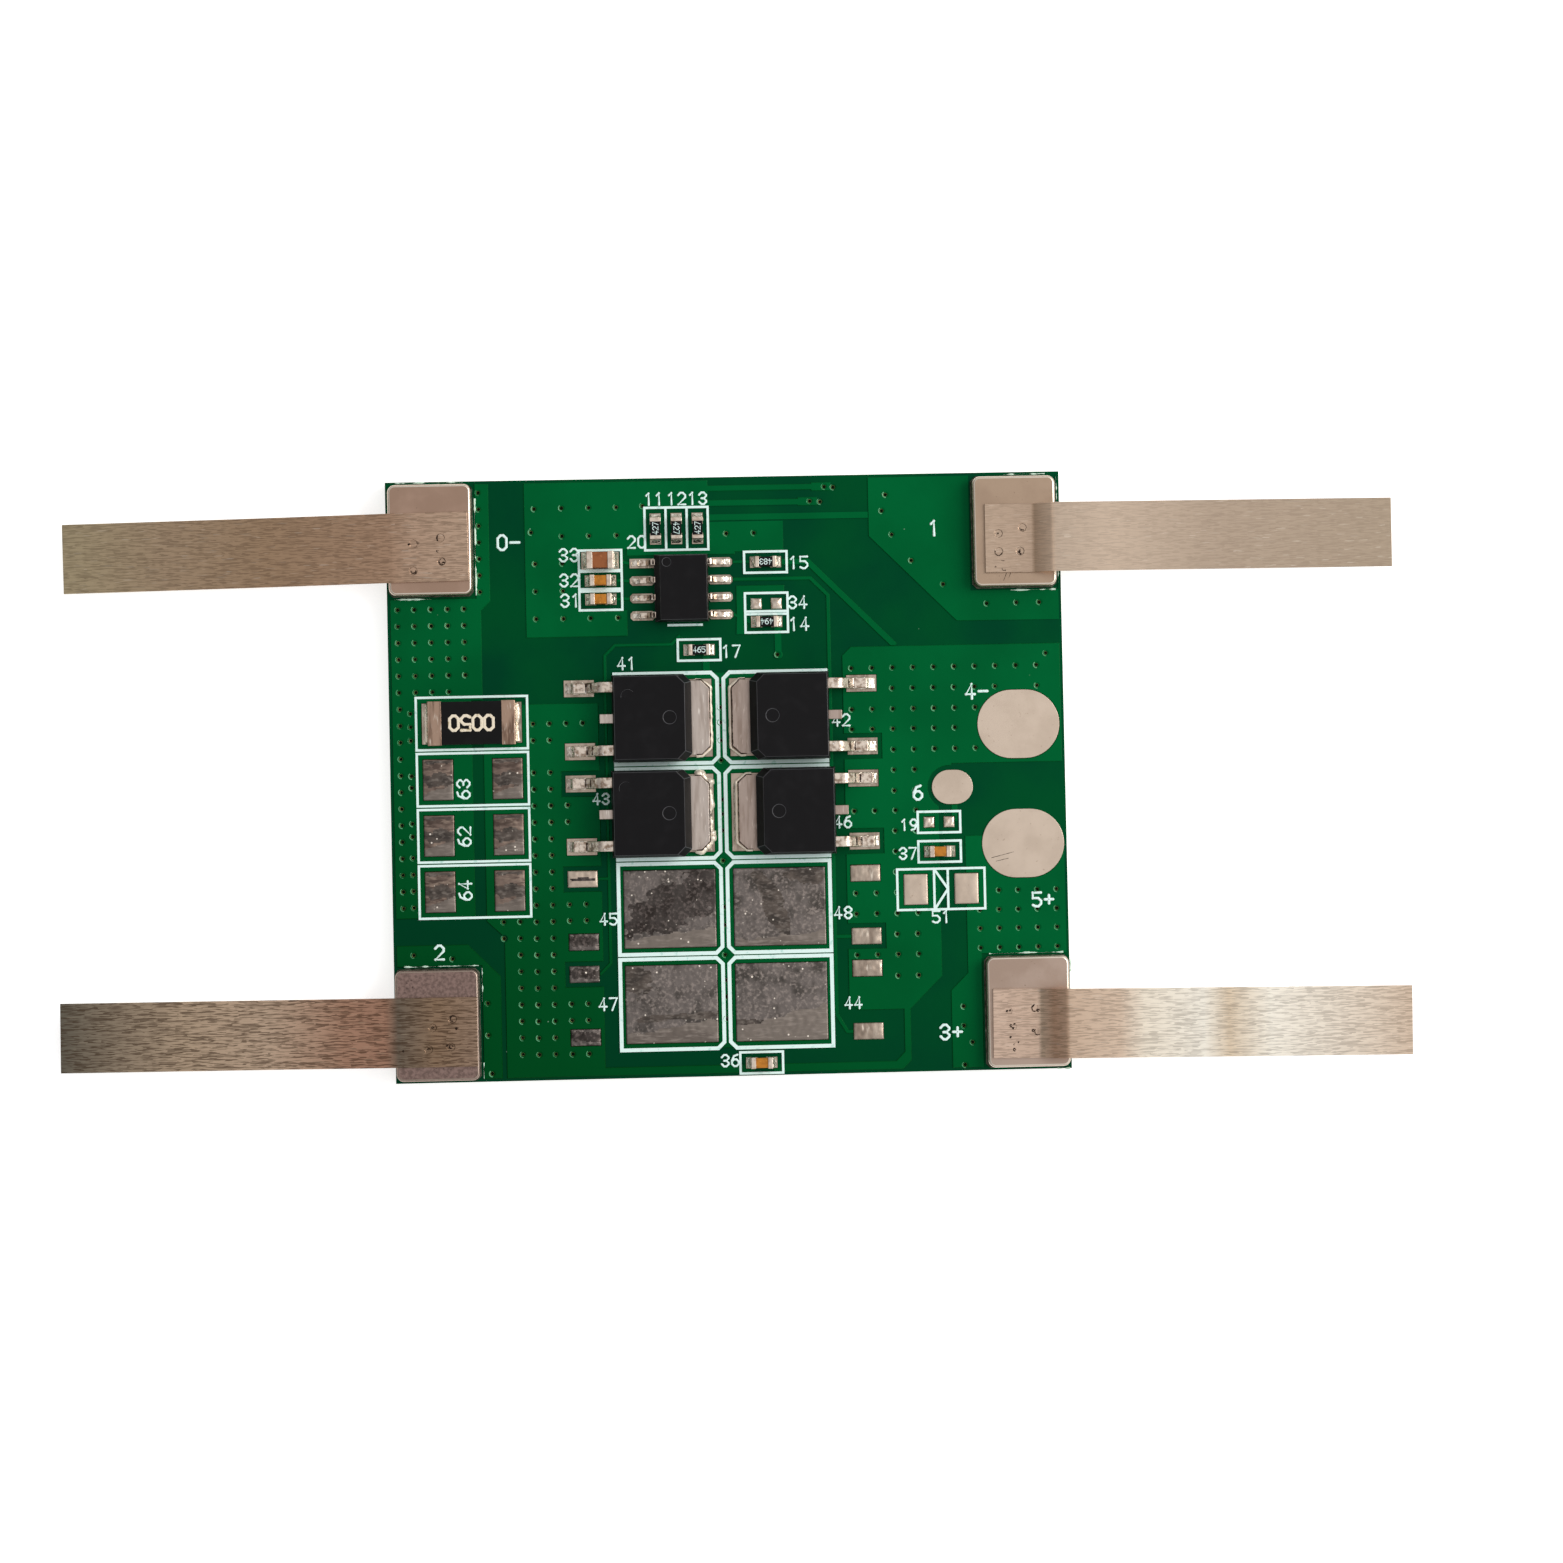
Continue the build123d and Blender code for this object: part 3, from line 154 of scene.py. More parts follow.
@dataclass(frozen=True)
class Look:
    """A material in the making: its nodes, shader and object coordinates, and the steps of a pattern."""

    tree: Tree
    shader: Node
    place: Socket

    def noise(self, size: float, detail: float = 3.0, stretch: Triple = (1.0, 1.0, 1.0)) -> Socket:
        """Adds noise with features of a real size.

        Args:
            size: feature size in millimetres.
            detail: octaves of finer noise.
            stretch: how many times longer than size the features are along each axis.

        Returns:
            The noise value, about 0 to 1.
        """
        scales = tuple(1.0 / s for s in stretch)
        spread = add_node(self.tree, "ShaderNodeMapping", {"Vector": self.place, "Scale": scales})
        made = add_node(self.tree, "ShaderNodeTexNoise",
                        {"Vector": spread.outputs[0], "Scale": per_mm(size), "Detail": detail})
        return made.outputs["Fac"]

    def step(self, value: Socket, low: float, high: float) -> Socket:
        """Stretches the part of a pattern between low and high to 0 and 1, softly."""
        values = {"Value": value, "From Min": low, "From Max": high}
        made = add_node(self.tree, "ShaderNodeMapRange", values, {"interpolation_type": "SMOOTHSTEP"})
        return made.outputs[0]

    def specks(self, size: float, core: float, rim: float, patch: float, bare: float, full: float) -> Socket:
        """Adds round specks that keep to some patches of the surface.

        Args:
            size: distance between specks in millimetres.
            core: radius of a speck's full core, in shares of size.
            rim: radius at which a speck has faded.
            patch: size of the patches in millimetres.
            bare: level of the patches' noise up to which there are no specks.
            full: level from which every speck shows.

        Returns:
            1 on a speck, 0 elsewhere.
        """
        cells = add_node(self.tree, "ShaderNodeTexVoronoi", {"Vector": self.place, "Scale": per_mm(size)})
        speck = self.step(cells.outputs["Distance"], rim, core)
        chance = self.step(self.noise(patch, 1.0), bare, full)
        both = add_node(self.tree, "ShaderNodeMath", {0: speck, 1: chance}, {"operation": "MULTIPLY"})
        return both.outputs[0]

    def blend(self, share: Socket | float, low: object, high: object) -> Socket:
        """Mixes two colours.

        Args:
            share: 0 for low, 1 for high.
            low: a hex colour or a socket.
            high: a hex colour or a socket.

        Returns:
            The mixed colour.
        """
        ends = [linear(end) if isinstance(end, str) else end for end in (low, high)]
        made = add_node(self.tree, "ShaderNodeMix", {0: share, 6: ends[0], 7: ends[1]}, {"data_type": "RGBA"})
        return made.outputs[2]

    def colour(self, colour: Socket) -> None:
        """Gives the shader its colour."""
        self.tree.links.new(colour, self.shader.inputs["Base Color"])

    def relief(self, depth: float, height: Socket) -> None:
        """Turns a pattern from 0 to 1 into surface relief of a depth in millimetres."""
        values = {"Height": height, "Distance": depth * MM, "Strength": 1.0}
        bump = add_node(self.tree, "ShaderNodeBump", values)
        self.tree.links.new(bump.outputs[0], self.shader.inputs["Normal"])


@dataclass(frozen=True)
class Finish:
    """A surface finish with the values that every material here starts from."""

    name: str
    colour: str
    roughness: float
    metallic: float = 0.0
    specular: float = 0.5
    tint: str = "#ffffff"
    grain_mm: float = 0.2
    relief_mm: float = 0.004

    def material(self) -> bpy.types.Material:
        """Returns the finish's material, built the first time it is asked for."""
        known = bpy.data.materials.get(self.name)
        if known:
            return known
        made = bpy.data.materials.new(self.name)
        tree = fresh_nodes(made)
        values = {"Base Color": linear(self.colour), "Roughness": self.roughness,
                  "Metallic": self.metallic, "Specular IOR Level": self.specular,
                  "Specular Tint": linear(self.tint)}
        shader = add_node(tree, "ShaderNodeBsdfPrincipled", values)
        add_node(tree, "ShaderNodeOutputMaterial", {"Surface": shader.outputs[0]})
        self.pattern(Look(tree, shader, add_node(tree, "ShaderNodeTexCoord").outputs["Object"]))
        made.diffuse_color = linear(self.colour)
        return made

    def pattern(self, look: Look) -> None:
        """Adds the finish's own colour variation and relief; the plain finish has only a fine grain."""
        look.relief(self.relief_mm, look.noise(self.grain_mm))


@dataclass(frozen=True)
class SolderMask(Finish):
    """Green liquid solder mask, sprayed and cured: even, glossy, a little wavy, with some dust."""

    shade: str = "#004d28"
    cloud_mm: float = 7.0
    fleck_mm: float = 0.9
    deep: str = "#003a09"
    core: str = ""

    def pattern(self, look: Look) -> None:
        """Adds slow changes of shade, a darkening towards the lower left, pale specks of dried soldering
        residue and, on the laminate, its cut glass-fibre edge.
        """
        colour = look.blend(look.step(look.noise(self.cloud_mm), 0.3, 0.7), self.shade, self.colour)
        # Darker towards the lower left of the board
        across = add_node(look.tree, "ShaderNodeVectorMath", {0: look.place, 1: (0.5, 0.87, 0.0)},
                          {"operation": "DOT_PRODUCT"}).outputs["Value"]
        colour = look.blend(look.step(across, 0.006, -0.03), colour, self.deep)
        colour = look.blend(look.specks(self.fleck_mm, 0.03, 0.075, 2.4, 0.7, 0.74), colour, "#9fc4ad")
        if self.core:
            normal = add_node(look.tree, "ShaderNodeNewGeometry").outputs["Normal"]
            upright = add_node(look.tree, "ShaderNodeSeparateXYZ", {0: normal}).outputs["Z"]
            flat = add_node(look.tree, "ShaderNodeMath", {0: upright}, {"operation": "ABSOLUTE"}).outputs[0]
            plies = look.noise(0.18, 2.0, (9.0, 9.0, 1.0))
            cut = look.blend(look.step(plies, 0.35, 0.65), self.core, "#8f9460")
            colour = look.blend(look.step(flat, 0.4, 0.6), cut, colour)
        look.colour(colour)
        look.relief(self.relief_mm, look.noise(self.grain_mm, 2.0))


@dataclass(frozen=True)
class PrintInk(Finish):
    """White screen ink: chalky, a little thin in places, so the green shows faintly through."""

    under: str = "#8fbcae"

    def pattern(self, look: Look) -> None:
        """Adds thin places and the mesh's grain."""
        look.colour(look.blend(look.step(look.noise(0.35, 4.0), 0.3, 0.42), self.under, self.colour))
        look.relief(self.relief_mm, look.noise(0.08))


@dataclass(frozen=True)
class Tin(Finish):
    """Tin-lead or tin coat, molten once: bright, with soft patches, dull oxide and fine wrinkles."""

    dull: str = "#8d8279"
    bright: str = "#f0e7d9"
    patch_mm: float = 0.7
    stretch: Triple = (1.0, 1.0, 1.0)

    def pattern(self, look: Look) -> None:
        """Adds oxide patches, pale spots at random that are painted glints, and a wrinkled skin."""
        patch = look.noise(self.patch_mm, 4.0, self.stretch)
        colour = look.blend(look.step(patch, 0.32, 0.6), self.dull, self.colour)
        # Pale spots at random: painted glints
        glint = look.noise(self.patch_mm * 0.4, 3.0, self.stretch)
        look.colour(look.blend(look.step(glint, 0.6, 0.75), colour, self.bright))
        look.relief(self.relief_mm, look.noise(self.grain_mm, 4.0, self.stretch))


@dataclass(frozen=True)
class DullTin(Finish):
    """Tin wiped over a pad and left: dark broad stains, a wormy skin and a few bright specks."""

    stain: str = "#4a413e"
    skin: str = "#9c8a7f"
    stain_mm: float = 1.7
    stretch: Triple = (1.0, 1.0, 1.0)

    def pattern(self, look: Look) -> None:
        """Adds the stains, the skin and the specks."""
        broad = look.noise(self.stain_mm, 5.0, self.stretch)
        colour = look.blend(look.step(broad, 0.36, 0.56), self.stain, self.colour)
        worms = look.noise(self.grain_mm, 6.0, self.stretch)
        colour = look.blend(look.step(worms, 0.46, 0.7), colour, self.skin)
        look.colour(look.blend(look.specks(0.5, 0.09, 0.17, 1.1, 0.52, 0.58), colour, "#fff4e6"))
        look.relief(self.relief_mm, look.noise(self.grain_mm, 4.0, self.stretch))


@dataclass(frozen=True)
class RolledNickel(Finish):
    """Nickel sheet as rolled and cut: satin, faintly clouded, with pinhead stains."""

    cloud: str = "#998475"
    cloud_mm: float = 2.2
    stain: str = "#7d6a5c"
    stained: float = 0.72

    def pattern(self, look: Look) -> None:
        """Adds clouds, stains and the rolled skin."""
        colour = look.blend(look.step(look.noise(self.cloud_mm, 5.0), 0.35, 0.65), self.cloud, self.colour)
        stain = look.step(look.noise(0.2, 2.0), self.stained, self.stained + 0.08)
        look.colour(look.blend(stain, colour, self.stain))
        look.relief(self.relief_mm, look.noise(self.grain_mm, 3.0))


@dataclass(frozen=True)
class BrushedNickel(Finish):
    """Nickel strip brushed along its length: satin, streaked and scratched, toned along its length by painted
    reflection and painted shade.

    The brushed lines are drawn coarser than real ones, so that they show.
    """

    painted_reflection_stops: tuple[tuple[float, str], ...] = ()
    start_mm: float = 0.0
    end_mm: float = 1.0
    scratch: str = "#fff6e8"
    depth: float = 0.35
    coarse_mm: float = 0.16

    def pattern(self, look: Look) -> None:
        """Adds the tone along the strip, which is painted reflection and shade, darker lines of cells drawn
        out along X, and pale scratches.
        """
        along = add_node(look.tree, "ShaderNodeSeparateXYZ", {0: look.place}).outputs["X"]
        span = {"Value": along, "From Min": self.start_mm * MM, "From Max": self.end_mm * MM}
        share = add_node(look.tree, "ShaderNodeMapRange", span).outputs[0]
        # Tone along the strip: painted reflection and shade
        tone = add_node(look.tree, "ShaderNodeValToRGB", {0: share}, stops=self.painted_reflection_stops).outputs[0]
        drawn = add_node(look.tree, "ShaderNodeVectorMath", {0: look.place, 1: (10.0, 1.0, 10.0)},
                         {"operation": "DIVIDE"}).outputs["Vector"]
        cells = add_node(look.tree, "ShaderNodeTexVoronoi",
                         {"Vector": drawn, "Scale": per_mm(self.coarse_mm)})
        shades = add_node(look.tree, "ShaderNodeSeparateColor", {0: cells.outputs["Color"]}).outputs
        darker = look.blend(self.depth, tone, "#4a3626")
        colour = look.blend(look.step(shades["Red"], 0.05, 0.75), darker, tone)
        look.colour(look.blend(look.step(shades["Green"], 0.95, 1.12), colour, self.scratch))
        look.relief(self.relief_mm, look.noise(0.07, 3.0, (22.0, 1.0, 22.0)))


@dataclass(frozen=True)
class MouldedEpoxy(Finish):
    """Black epoxy moulding compound: matte, with a very fine spark-eroded grain."""

    bloom: str = "#2b292b"

    def pattern(self, look: Look) -> None:
        """Adds a faint bloom and the mould's grain."""
        look.colour(look.blend(look.step(look.noise(1.1, 4.0), 0.45, 0.8), self.colour, self.bloom))
        look.relief(self.relief_mm, look.noise(self.grain_mm, 2.0))


class Coat(Enum):
    """The finishes of this board: one for each real surface, and some that are painted highlight or painted
    shade.
    """

    MASK = SolderMask("mask_over_copper", "#005a29", 0.34, specular=0.35, tint="#38ffb4", grain_mm=0.9,
                      relief_mm=0.012, shade="#004f22")
    MASK_DARK = SolderMask("mask_over_laminate", "#004019", 0.36, specular=0.35, tint="#38ffb4",
                           grain_mm=0.9, relief_mm=0.012, shade="#00301a", deep="#002a12", core="#5d6a3a")
    # Painted shade: a near-black disc at the bottom of each via's crater stands for the dark of the deep hole
    VIA_PAINTED_SHADE = Finish("via_hole_painted_shade", "#001408", 0.6, specular=0.05)
    # Painted highlight: pale green arcs on the left of each via's rim, where the lamp on the right would
    # light the sunken mask
    VIA_RIM_HIGHLIGHT = Finish("via_rim_painted_highlight", "#57a877", 0.25, specular=0.7, grain_mm=0.2, relief_mm=0.002)
    # Painted highlight: pale mint lines round the plates, where the edge of their solder would catch the
    # light
    PLATE_RIM_HIGHLIGHT = Finish("plate_rim_painted_highlight", "#d3f2df", 0.3, specular=0.6, grain_mm=0.2, relief_mm=0.004)
    INK = PrintInk("white_legend_ink", "#e8fffb", 0.7, specular=0.2, under="#c6ebe3")
    CREAM_INK = PrintInk("cream_marking_ink", "#f3e6cf", 0.7, specular=0.2, under="#c9b795")
    BARE_PAD = RolledNickel("immersion_tinned_pad", "#d4c2b1", 0.42, 1.0, cloud="#cab8a7", grain_mm=0.3,
                            relief_mm=0.002, stain="#b9a594", stained=0.68)
    TINNED = Tin("hot_tinned_pad", "#c3b2a2", 0.36, 1.0, dull="#9a897b", bright="#e6d8c8", grain_mm=0.25,
                 stretch=(1.0, 4.0, 1.0), relief_mm=0.008)
    MOTTLED = DullTin("dull_tinned_pad", "#78706c", 0.5, 1.0, stain="#534e4a", skin="#968b85", grain_mm=0.22,
                      relief_mm=0.008)
    WIPED = DullTin("wiped_tinned_pad", "#857b73", 0.46, 1.0, stain="#766c65", skin="#978c84",
                    grain_mm=0.16, stretch=(5.0, 1.0, 1.0), relief_mm=0.004)
    BROWNED = DullTin("browned_tinned_pad", "#86746a", 0.48, 1.0, stain="#5f514a", skin="#9c897c",
                      stain_mm=0.5, stretch=(3.0, 1.0, 1.0), grain_mm=0.2, relief_mm=0.01)
    SOLDER = Tin("reflowed_solder", "#f4eadb", 0.26, 1.0, dull="#c2b3a2", bright="#ffffff",
                 patch_mm=0.35, grain_mm=0.16, relief_mm=0.014)
    # Painted reflection: solder darkened to mirror the dark board beside the plates, with pale painted glints
    SHADED_SOLDER = Tin("shaded_seam_solder", "#55584c", 0.42, 1.0, dull="#34382e", bright="#8b8d7c",
                        patch_mm=0.4, grain_mm=0.2, relief_mm=0.01)
    # Solder seams are real; their near-white colour, only partly metallic, is painted sheen that shows bright
    # from every side
    SEAM = Finish("solder_seam_painted_sheen", "#fff1de", 0.4, 0.6, specular=0.6, grain_mm=0.3, relief_mm=0.003)
    # Painted highlight: lighter colours on the plates' rounded edges, milder on the scuffed plate
    NICKEL_RIM_DIM_HIGHLIGHT = Finish("nickel_rim_dim_painted_highlight", "#a8978a", 0.36, 1.0, grain_mm=0.1, relief_mm=0.003)
    NICKEL_RIM_HIGHLIGHT = Finish("nickel_rim_painted_highlight", "#ece0d0", 0.3, 1.0, grain_mm=0.1, relief_mm=0.003)
    SMOKED = DullTin("smoked_tinned_pad", "#625953", 0.48, 1.0, stain="#4b4541", skin="#7f766f",
                     stain_mm=0.6, stretch=(2.0, 1.0, 1.0), grain_mm=0.2, relief_mm=0.01)
    STAINED = DullTin("stained_tinned_pad", "#4f4946", 0.5, 1.0, stain="#38322f", skin="#6e6460",
                      grain_mm=0.2, relief_mm=0.01)
    SENSE_CAP = Tin("browned_sense_cap", "#b89a86", 0.34, 1.0, dull="#7c6354", bright="#f4e6d6", patch_mm=0.3,
                    stretch=(1.0, 7.0, 1.0), grain_mm=0.12, relief_mm=0.006)
    LEAD = Tin("tin_plated_lead", "#ecdccc", 0.3, 1.0, dull="#cdb8a6", bright="#fff6ea",
               patch_mm=0.4, grain_mm=0.12, relief_mm=0.006)
    BENT_LEAD = Tin("bent_tinned_lead", "#f0e0d0", 0.28, 1.0, dull="#9a8371", bright="#ffffff",
                    patch_mm=0.32, grain_mm=0.12, relief_mm=0.012)
    DRAIN_TAB = Tin("tin_plated_drain_tab", "#d2c4ba", 0.36, 1.0, dull="#bbaba0", bright="#f6ece2",
                    patch_mm=0.3, stretch=(1.0, 9.0, 1.0), grain_mm=0.1, relief_mm=0.004)
    # Painted shade: a darker copy of the tab's tin, for tabs on the far side of their body from the lamp
    DRAIN_TAB_SHADED = Tin("drain_tab_painted_shade", "#beaba0", 0.38, 1.0, dull="#a99589", bright="#dfcec3",
                         patch_mm=0.3, stretch=(1.0, 9.0, 1.0), grain_mm=0.1, relief_mm=0.004)
    # Painted highlight: a lighter grey on the rounded edges of the moulded bodies
    EPOXY_EDGE_HIGHLIGHT = Finish("epoxy_edge_painted_highlight", "#4c4c4f", 0.4, specular=0.3, grain_mm=0.1, relief_mm=0.002)
    EPOXY = MouldedEpoxy("moulded_epoxy", "#111012", 0.5, specular=0.12, grain_mm=0.09, relief_mm=0.003,
                         bloom="#171618")
    GLASS_COAT = MouldedEpoxy("resistor_glass_coat", "#0d0c0d", 0.35, specular=0.14, grain_mm=0.3,
                              relief_mm=0.002, bloom="#151315")
    CERAMIC_TAN = Tin("tan_ceramic", "#c07a26", 0.5, 0.0, 0.25, dull="#a1651c", bright="#dc9a44",
                      patch_mm=0.5, grain_mm=0.1, relief_mm=0.003)
    CERAMIC_BROWN = Tin("brown_ceramic", "#955831", 0.5, 0.0, 0.25, dull="#7f4826", bright="#a96b42",
                        patch_mm=0.6, grain_mm=0.1, relief_mm=0.003)
    # Dark brown: real weld burns and scratches, and also lines of painted shade at the leads' bends and the
    # tabs' edges
    WELD_BURN_AND_PAINTED_SHADE = Finish("weld_burn_and_painted_shade", "#2e1e15", 0.6, 0.3, specular=0.2, grain_mm=0.06, relief_mm=0.01)

    def material(self) -> bpy.types.Material:
        """The material of this finish."""
        return self.value.material()


def paint(piece: Piece, coat: Coat | Finish) -> None:
    """Gives a piece one finish in place of all it has.

    Args:
        piece: a new piece or a CAD node.
        coat: the finish.
    """
    finish = coat.material()
    if not piece.data.materials:
        piece.data.materials.append(finish)
    for place in piece.material_slots:
        place.material = finish


def seat(piece: Piece, slot: str, replaced: tuple[str, ...] = ()) -> None:
    """Fixes a finished piece to the board and reports it.

    Args:
        piece: the finished piece.
        slot: not used.
        replaced: CAD nodes that the piece stands for.
    """
    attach(piece, BODY)
    if replaced:
        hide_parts(*replaced)
    log.info("%s: %d faces, stands for %s", piece.name, len(piece.data.polygons), list(replaced) or "nothing")


def set_out(name: str, data: bpy.types.ID) -> Piece:
    """Puts a new object in the scene, at the origin."""
    piece = bpy.data.objects.new(name, data)
    bpy.context.scene.collection.objects.link(piece)
    return piece


def shown(name: str, mesh: Mesh) -> Piece:
    """Turns a mesh in millimetres into an object in metres, at the origin."""
    mesh.transform(Matrix.Scale(MM, 4))
    return set_out(name, mesh)


def settled_mesh(piece: Piece) -> Mesh:
    """Applies a piece's modifiers and returns the plain mesh; the piece itself is removed."""
    graph = bpy.context.evaluated_depsgraph_get()
    mesh = bpy.data.meshes.new_from_object(piece.evaluated_get(graph), depsgraph=graph)
    piece.modifiers.clear()
    bpy.data.objects.remove(piece)
    return mesh


def box_mm(node: str) -> tuple[Vector, Vector]:
    """Lowest and highest corner of a CAD node, in millimetres."""
    low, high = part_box(node)
    return low / MM, high / MM


def top_of(node: str) -> float:
    """Height of a CAD node's top, in millimetres."""
    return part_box(node)[1].z / MM


def node_solids(node: str) -> Solids:
    """Copies a CAD node into a mesh in millimetres, its triangles merged back into faces.

    Args:
        node: name of the CAD node.

    Returns:
        The merged mesh, to be freed by the caller.
    """
    made = bmesh.new()
    made.from_mesh(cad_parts[node].data)
    for layer in list(made.loops.layers.uv):
        made.loops.layers.uv.remove(layer)
    bmesh.ops.scale(made, vec=Vector((1, 1, 1)) / MM, verts=made.verts)
    bmesh.ops.remove_doubles(made, verts=made.verts, dist=TINY)
    bmesh.ops.dissolve_limit(made, angle_limit=math.radians(1.0), verts=made.verts, edges=made.edges)
    return made


def islands(node: str) -> list[tuple[Vector, Vector]]:
    """Finds the separate solids of a CAD node.

    Args:
        node: name of the CAD node.

    Returns:
        Each solid's lowest and highest corner, in millimetres.
    """
    solids = node_solids(node)
    solids.verts.index_update()
    seen: set[int] = set()
    found = []
    for start in solids.verts:
        if start.index in seen:
            continue
        seen.add(start.index)
        reached = [start]
        for vertex in reached:
            near = [edge.other_vert(vertex) for edge in vertex.link_edges]
            fresh = [v for v in near if v.index not in seen]
            seen.update(v.index for v in fresh)
            reached.extend(v for v in dict.fromkeys(fresh))
        corners = [[pick(v.co[i] for v in reached) for i in range(3)] for pick in (min, max)]
        found.append((Vector(corners[0]), Vector(corners[1])))
    solids.free()
    return found


def plain_mesh(name: str, solids: Solids) -> Mesh:
    """Writes a working mesh to a new mesh without normals or layers of its own, and frees it."""
    solids.verts.index_update()
    vertices = [v.co.copy() for v in solids.verts]
    faces = [[v.index for v in face.verts] for face in solids.faces]
    solids.free()
    mesh = bpy.data.meshes.new(name)
    mesh.from_pydata(vertices, [], faces)
    return mesh


def soften(node: str, slot: str, edge: float, segments: int, coats: tuple[Coat | Finish, ...],
           name: str = "") -> None:
    """Seats a copy of a CAD node, with its edges rounded, in the node's place.

    Args:
        node: CAD node to copy.
        slot: material slot of the record.
        edge: width of the rounding in millimetres.
        segments: faces across each rounding.
        coats: the finish or, where they differ, the finish of the faces and that of the roundings.
        name: name of the new piece, where it isn't the node's own and _soft.
    """
    name = name or node + "_soft"
    carrier = set_out(name + "_work", plain_mesh(name, node_solids(node)))
    for coat in coats:
        carrier.data.materials.append(coat.material())
    rounding = carrier.modifiers.new("rounding", "BEVEL")
    rounding.width = edge
    rounding.segments = segments
    rounding.limit_method = "ANGLE"
    rounding.angle_limit = math.radians(SHARP_EDGE)
    rounding.harden_normals = True
    rounding.material = len(coats) - 1
    carrier.data.shade_smooth()
    seat(shown(name, settled_mesh(carrier)), slot, (node,))


@dataclass(frozen=True)
class Melt:
    """How solder flows: size of its faces, height of its lumps, how far it swells and the lumps' distance."""

    voxel: float = 0.04
    lump: float = 0.05
    swell: float = 0.01
    grain: float = 0.3
    smoothing: int = 3
    ripple: float = 0.5
    ripple_rate: float = 2.3

    def lay(self, node: str, name: str, coat: Coat) -> None:
        """Seats one rounded, uneven skin in the place of a CAD node's separate fillets.

        Args:
            node: CAD node to melt.
            name: name of the new piece.
            coat: finish of the solder.
        """
        carrier = set_out(name + "_work", plain_mesh(name, node_solids(node)))
        remesh = carrier.modifiers.new("skin", "REMESH")
        remesh.mode = "VOXEL"
        remesh.voxel_size = self.voxel
        carrier.modifiers.new("flow", "SMOOTH").iterations = self.smoothing
        mesh = settled_mesh(carrier)
        moves = []
        for vertex in mesh.vertices:
            fine = noise.noise(vertex.co * self.ripple_rate / self.grain)
            wave = noise.noise(vertex.co / self.grain) + self.ripple * fine
            moves.append(vertex.normal * (self.swell + self.lump * wave))
        for vertex, move in zip(mesh.vertices, moves):
            vertex.co += move
        mesh.shade_smooth()
        piece = shown(name, mesh)
        paint(piece, coat)
        seat(piece, "solder", (node,))


def surface_of(node: str) -> BVHTree:
    """A CAD node's surface in millimetres, for what is laid on it."""
    solids = node_solids(node)
    tree = BVHTree.FromBMesh(solids)
    solids.free()
    return tree


def new_tree(name: str, inputs: dict[str, str]) -> tuple[Tree, bpy.types.bpy_prop_collection]:
    """Starts a geometry tree with named inputs.

    Args:
        name: name of the tree.
        inputs: kind of each input beside the geometry, by its name.

    Returns:
        The tree and the sockets that give its inputs.
    """
    tree = bpy.data.node_groups.new(name, "GeometryNodeTree")
    for label, kind in {"Geometry": "Geometry", **inputs}.items():
        tree.interface.new_socket(label, in_out="INPUT", socket_type="NodeSocket" + kind)
    tree.interface.new_socket("Geometry", in_out="OUTPUT", socket_type="NodeSocketGeometry")
    return tree, add_node(tree, "NodeGroupInput").outputs


def end_tree(tree: Tree, shape: Socket, finish: Socket) -> None:
    """Ends a geometry tree: its copies are made real and get their finish."""
    real = add_node(tree, "GeometryNodeRealizeInstances", {0: shape})
    coated = add_node(tree, "GeometryNodeSetMaterial", {0: real.outputs[0], "Material": finish})
    add_node(tree, "NodeGroupOutput", {0: coated.outputs[0]})


def scatter_tree() -> Tree:
    """Builds the nodes that put copies of a small shape on points.

    Returns:
        A tree with the inputs Shape, Smallest, Largest, Seed and Finish.
    """
    tree, given = new_tree("scattered_copies", {"Shape": "Object", "Smallest": "Float", "Largest": "Float",
                                                "Seed": "Int", "Finish": "Material"})
    shape = add_node(tree, "GeometryNodeObjectInfo", {"Object": given["Shape"]})
    size = add_node(tree, "FunctionNodeRandomValue",
                    {2: given["Smallest"], 3: given["Largest"], "Seed": given["Seed"]})
    copies = add_node(tree, "GeometryNodeInstanceOnPoints",
                      {"Points": given["Geometry"], "Instance": shape.outputs["Geometry"],
                       "Scale": size.outputs[1]})
    end_tree(tree, copies.outputs[0], given["Finish"])
    return tree


